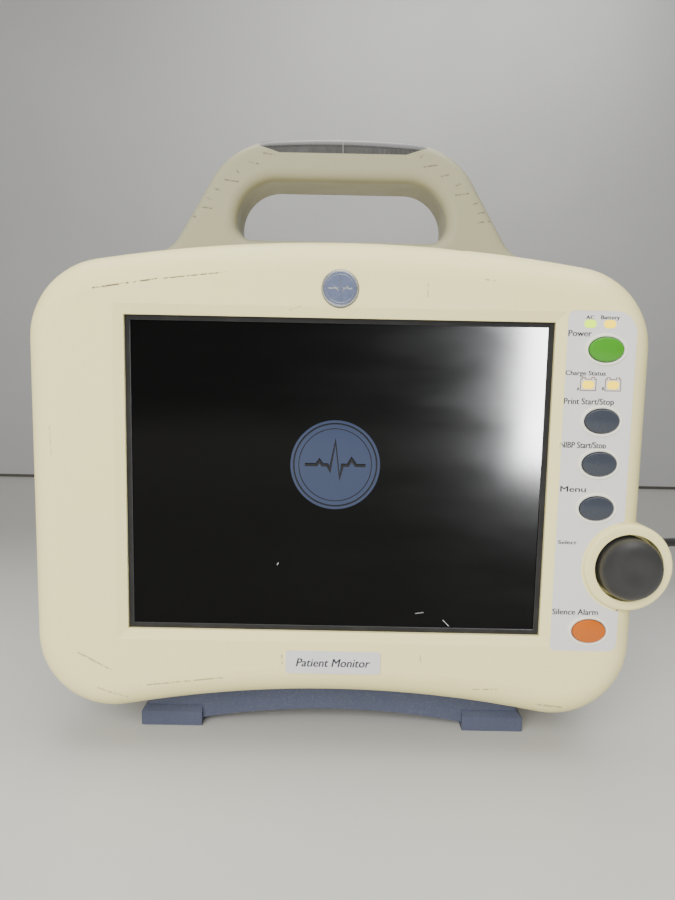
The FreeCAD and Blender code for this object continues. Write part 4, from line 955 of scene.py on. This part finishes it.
CAP_HEIGHT = 0.70
PANEL_WORDS = [
    ("AC", 100.1, 66.9, 3.4, 1.5), ("Battery", 108.2, 67.0, 7.6, 1.55), ("Power", 96.4, 60.1, 9.4, 2.5),
    ("Charge Status", 99.6, 44.6, 16.4, 1.85), ("Print Start/Stop", 101.6, 32.9, 20.4, 2.5),
    ("NIBP Start/Stop", 100.3, 15.1, 18.8, 2.5), ("Menu", 97.3, -3.1, 10.6, 2.4),
    ("Select", 96.2, -25.1, 7.8, 1.6),
    ("Silence Alarm", 101.2, -55.3, 19.2, 2.5), ("A", 96.9, 38.5, 1.15, 1.3), ("B", 107.0, 38.7, 1.05, 1.3),
]
lettering("panel_words", PANEL_WORDS, overlay_panel, ink, bold=0.16)
plate_low, plate_high = drawing_box("name_plate")
plate_middle = (plate_low + plate_high) / 2
NAME_CAP = 3.6
name_line = ("Patient Monitor", plate_middle[0], plate_middle[2] - NAME_CAP / 2, 31.5, NAME_CAP)
name_ink = principled("name_ink", (0.055, 0.062, 0.095), 0.4)[0]
lettering("name_plate_words", [name_line], plate_low[1], name_ink, lean=0.22, bold=0.22)


# %% Battery signs
def battery_sign(across, up):
    """The outline of a battery with two posts on top, drawn round its lit middle."""
    w, h, post = 3.1, 2.3, 0.7
    outer, inner = w - 0.6, w - 1.8
    outline = [(-w, -h), (w, -h), (w, h), (outer, h), (outer, h + post), (inner, h + post), (inner, h),
               (-inner, h), (-inner, h + post), (-outer, h + post), (-outer, h), (-w, h)]
    return stroke([(across + x, up + z) for x, z in outline], 0.34, overlay_panel, 0.06, closed=True)


sign_places = [(100.9, 40.8), (110.9, 40.8)]
piece("battery_signs", *surface([battery_sign(*place) for place in sign_places]),
      principled("sign_ink", (0.16, 0.07, 0.03), 0.5)[0], "housing", "overlay")

# %% [markdown]
# The object stands on a pale, softly glossy table before a grey wall. The table ends where the wall begins to
# show; the wall itself stands further off, so that other views look over the table's edge. Its paint greys
# towards the back, where less light would reach it.

# %% Table and wall
def stage_paint(name, colour, roughness, cloud, painted_shade_colour=None):
    """A quiet painted surface with a slow cloud in its colour; where asked, painted shade greys it towards
    the back.
    """
    material, tree, shader = principled(name, colour, roughness)
    place = millimetres(tree)
    tone = ramp(tree, noise(tree, place, 260.0, 2.0), 0.3, 0.7)
    paint = blend_colours(tree, tone, colour, tuple(part * cloud for part in colour))
    if painted_shade_colour:
        # Painted shade: the colour greys towards the back, where less light would reach.
        back = node(tree, "ShaderNodeSeparateXYZ", {0: place}).outputs[1]
        paint = blend_colours(tree, ramp(tree, back, -150.0, 350.0), paint, painted_shade_colour)
    wire(tree, shader, Base_Color=paint)
    return material


def stage_sheet(name, corners, material):
    """A flat four-cornered sheet that isn't part of the object."""
    mesh = bpy.data.meshes.new(name)
    mesh.from_pydata(corners, [], [(0, 1, 2, 3)])
    mesh.materials.append(material)
    made = added(name, mesh)
    return made


TABLE_END, WALL_Y, SIDE = 0.646, 1.75, 4.0
# The table's last colour is painted shade, which it greys to towards the back.
table_paint = stage_paint("table_paint", (0.55, 0.55, 0.53), 0.34, 0.97, (0.21, 0.21, 0.197))
wall_paint = stage_paint("wall_paint", (0.38, 0.38, 0.375), 0.5, 0.96)
# Painted shade: a thin dark strip stands up along the table's far edge, in place of the shade at its seam.
painted_gap_shade = principled("painted_gap_shade", (0.05, 0.047, 0.04), 0.7)[0]
stage_sheet("table_top", [(-SIDE, -3, 0), (SIDE, -3, 0), (SIDE, TABLE_END, 0), (-SIDE, TABLE_END, 0)],
            table_paint)
# The painted shade strip along the table's far edge.
stage_sheet("table_gap_shade", [(-SIDE, TABLE_END, 0), (SIDE, TABLE_END, 0), (SIDE, TABLE_END, 0.0042),
                          (-SIDE, TABLE_END, 0.0042)], painted_gap_shade)
stage_sheet("far_wall", [(-SIDE, WALL_Y, -2), (SIDE, WALL_Y, -2), (SIDE, WALL_Y, 3), (-SIDE, WALL_Y, 3)],
            wall_paint)

# %% [markdown]
# Light is soft: a wide ceiling panel, a broad fill behind the viewer on the left that nothing mirrors, a low
# wash on the wall and an even grey room. A tall bright card stands in front on the right. Only the glass sees
# it, as the reflection down the right of the screen; a link between the lamp and the glass keeps it there.

# %% Lights
def area_light(name, place, aim, wide, tall, power, colour=(1.0, 1.0, 1.0)):
    """A rectangular lamp at a place, turned so that it shines at a point."""
    lamp = bpy.data.lights.new(name, "AREA")
    lamp.shape = "RECTANGLE"
    lamp.size, lamp.size_y, lamp.energy, lamp.color = wide, tall, power, colour
    made = added(name, lamp)
    made.location = place
    made.rotation_euler = (Vector(aim) - Vector(place)).to_track_quat("-Z", "Y").to_euler()
    return made


MIDDLE = (CENTRE_X, 0.0, CENTRE_Z)
area_light("ceiling", (0.1, 0.1, 1.7), MIDDLE, 2.2, 1.6, 34, (1.0, 0.985, 0.955))
front_fill = area_light("front_fill", (-0.5, -1.7, 0.9), MIDDLE, 1.6, 1.2, 72, (1.0, 0.98, 0.94))
front_fill.visible_glossy = False
area_light("wall_wash", (0.4, 1.2, 1.4), (0.2, 1.75, 0.5), 1.2, 0.6, 7)
screen_card = area_light("screen_card", (0.41, -0.60, 0.36), (0.41, -0.09, 0.36), 0.40, 0.60, 520,
                         (0.97, 0.98, 1.0))
screen_card.visible_camera = False
screen_card.visible_diffuse = False
mirrored_in = bpy.data.collections.new("mirrored_in")
mirrored_in.objects.link(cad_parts["display_window"])
screen_card.light_linking.receiver_collection = mirrored_in
world = bpy.data.worlds.new("room")
bpy.context.scene.world = world
world.use_nodes = True
world.node_tree.nodes["Background"].inputs["Color"].default_value = (0.62, 0.63, 0.64, 1)
world.node_tree.nodes["Background"].inputs["Strength"].default_value = 0.42
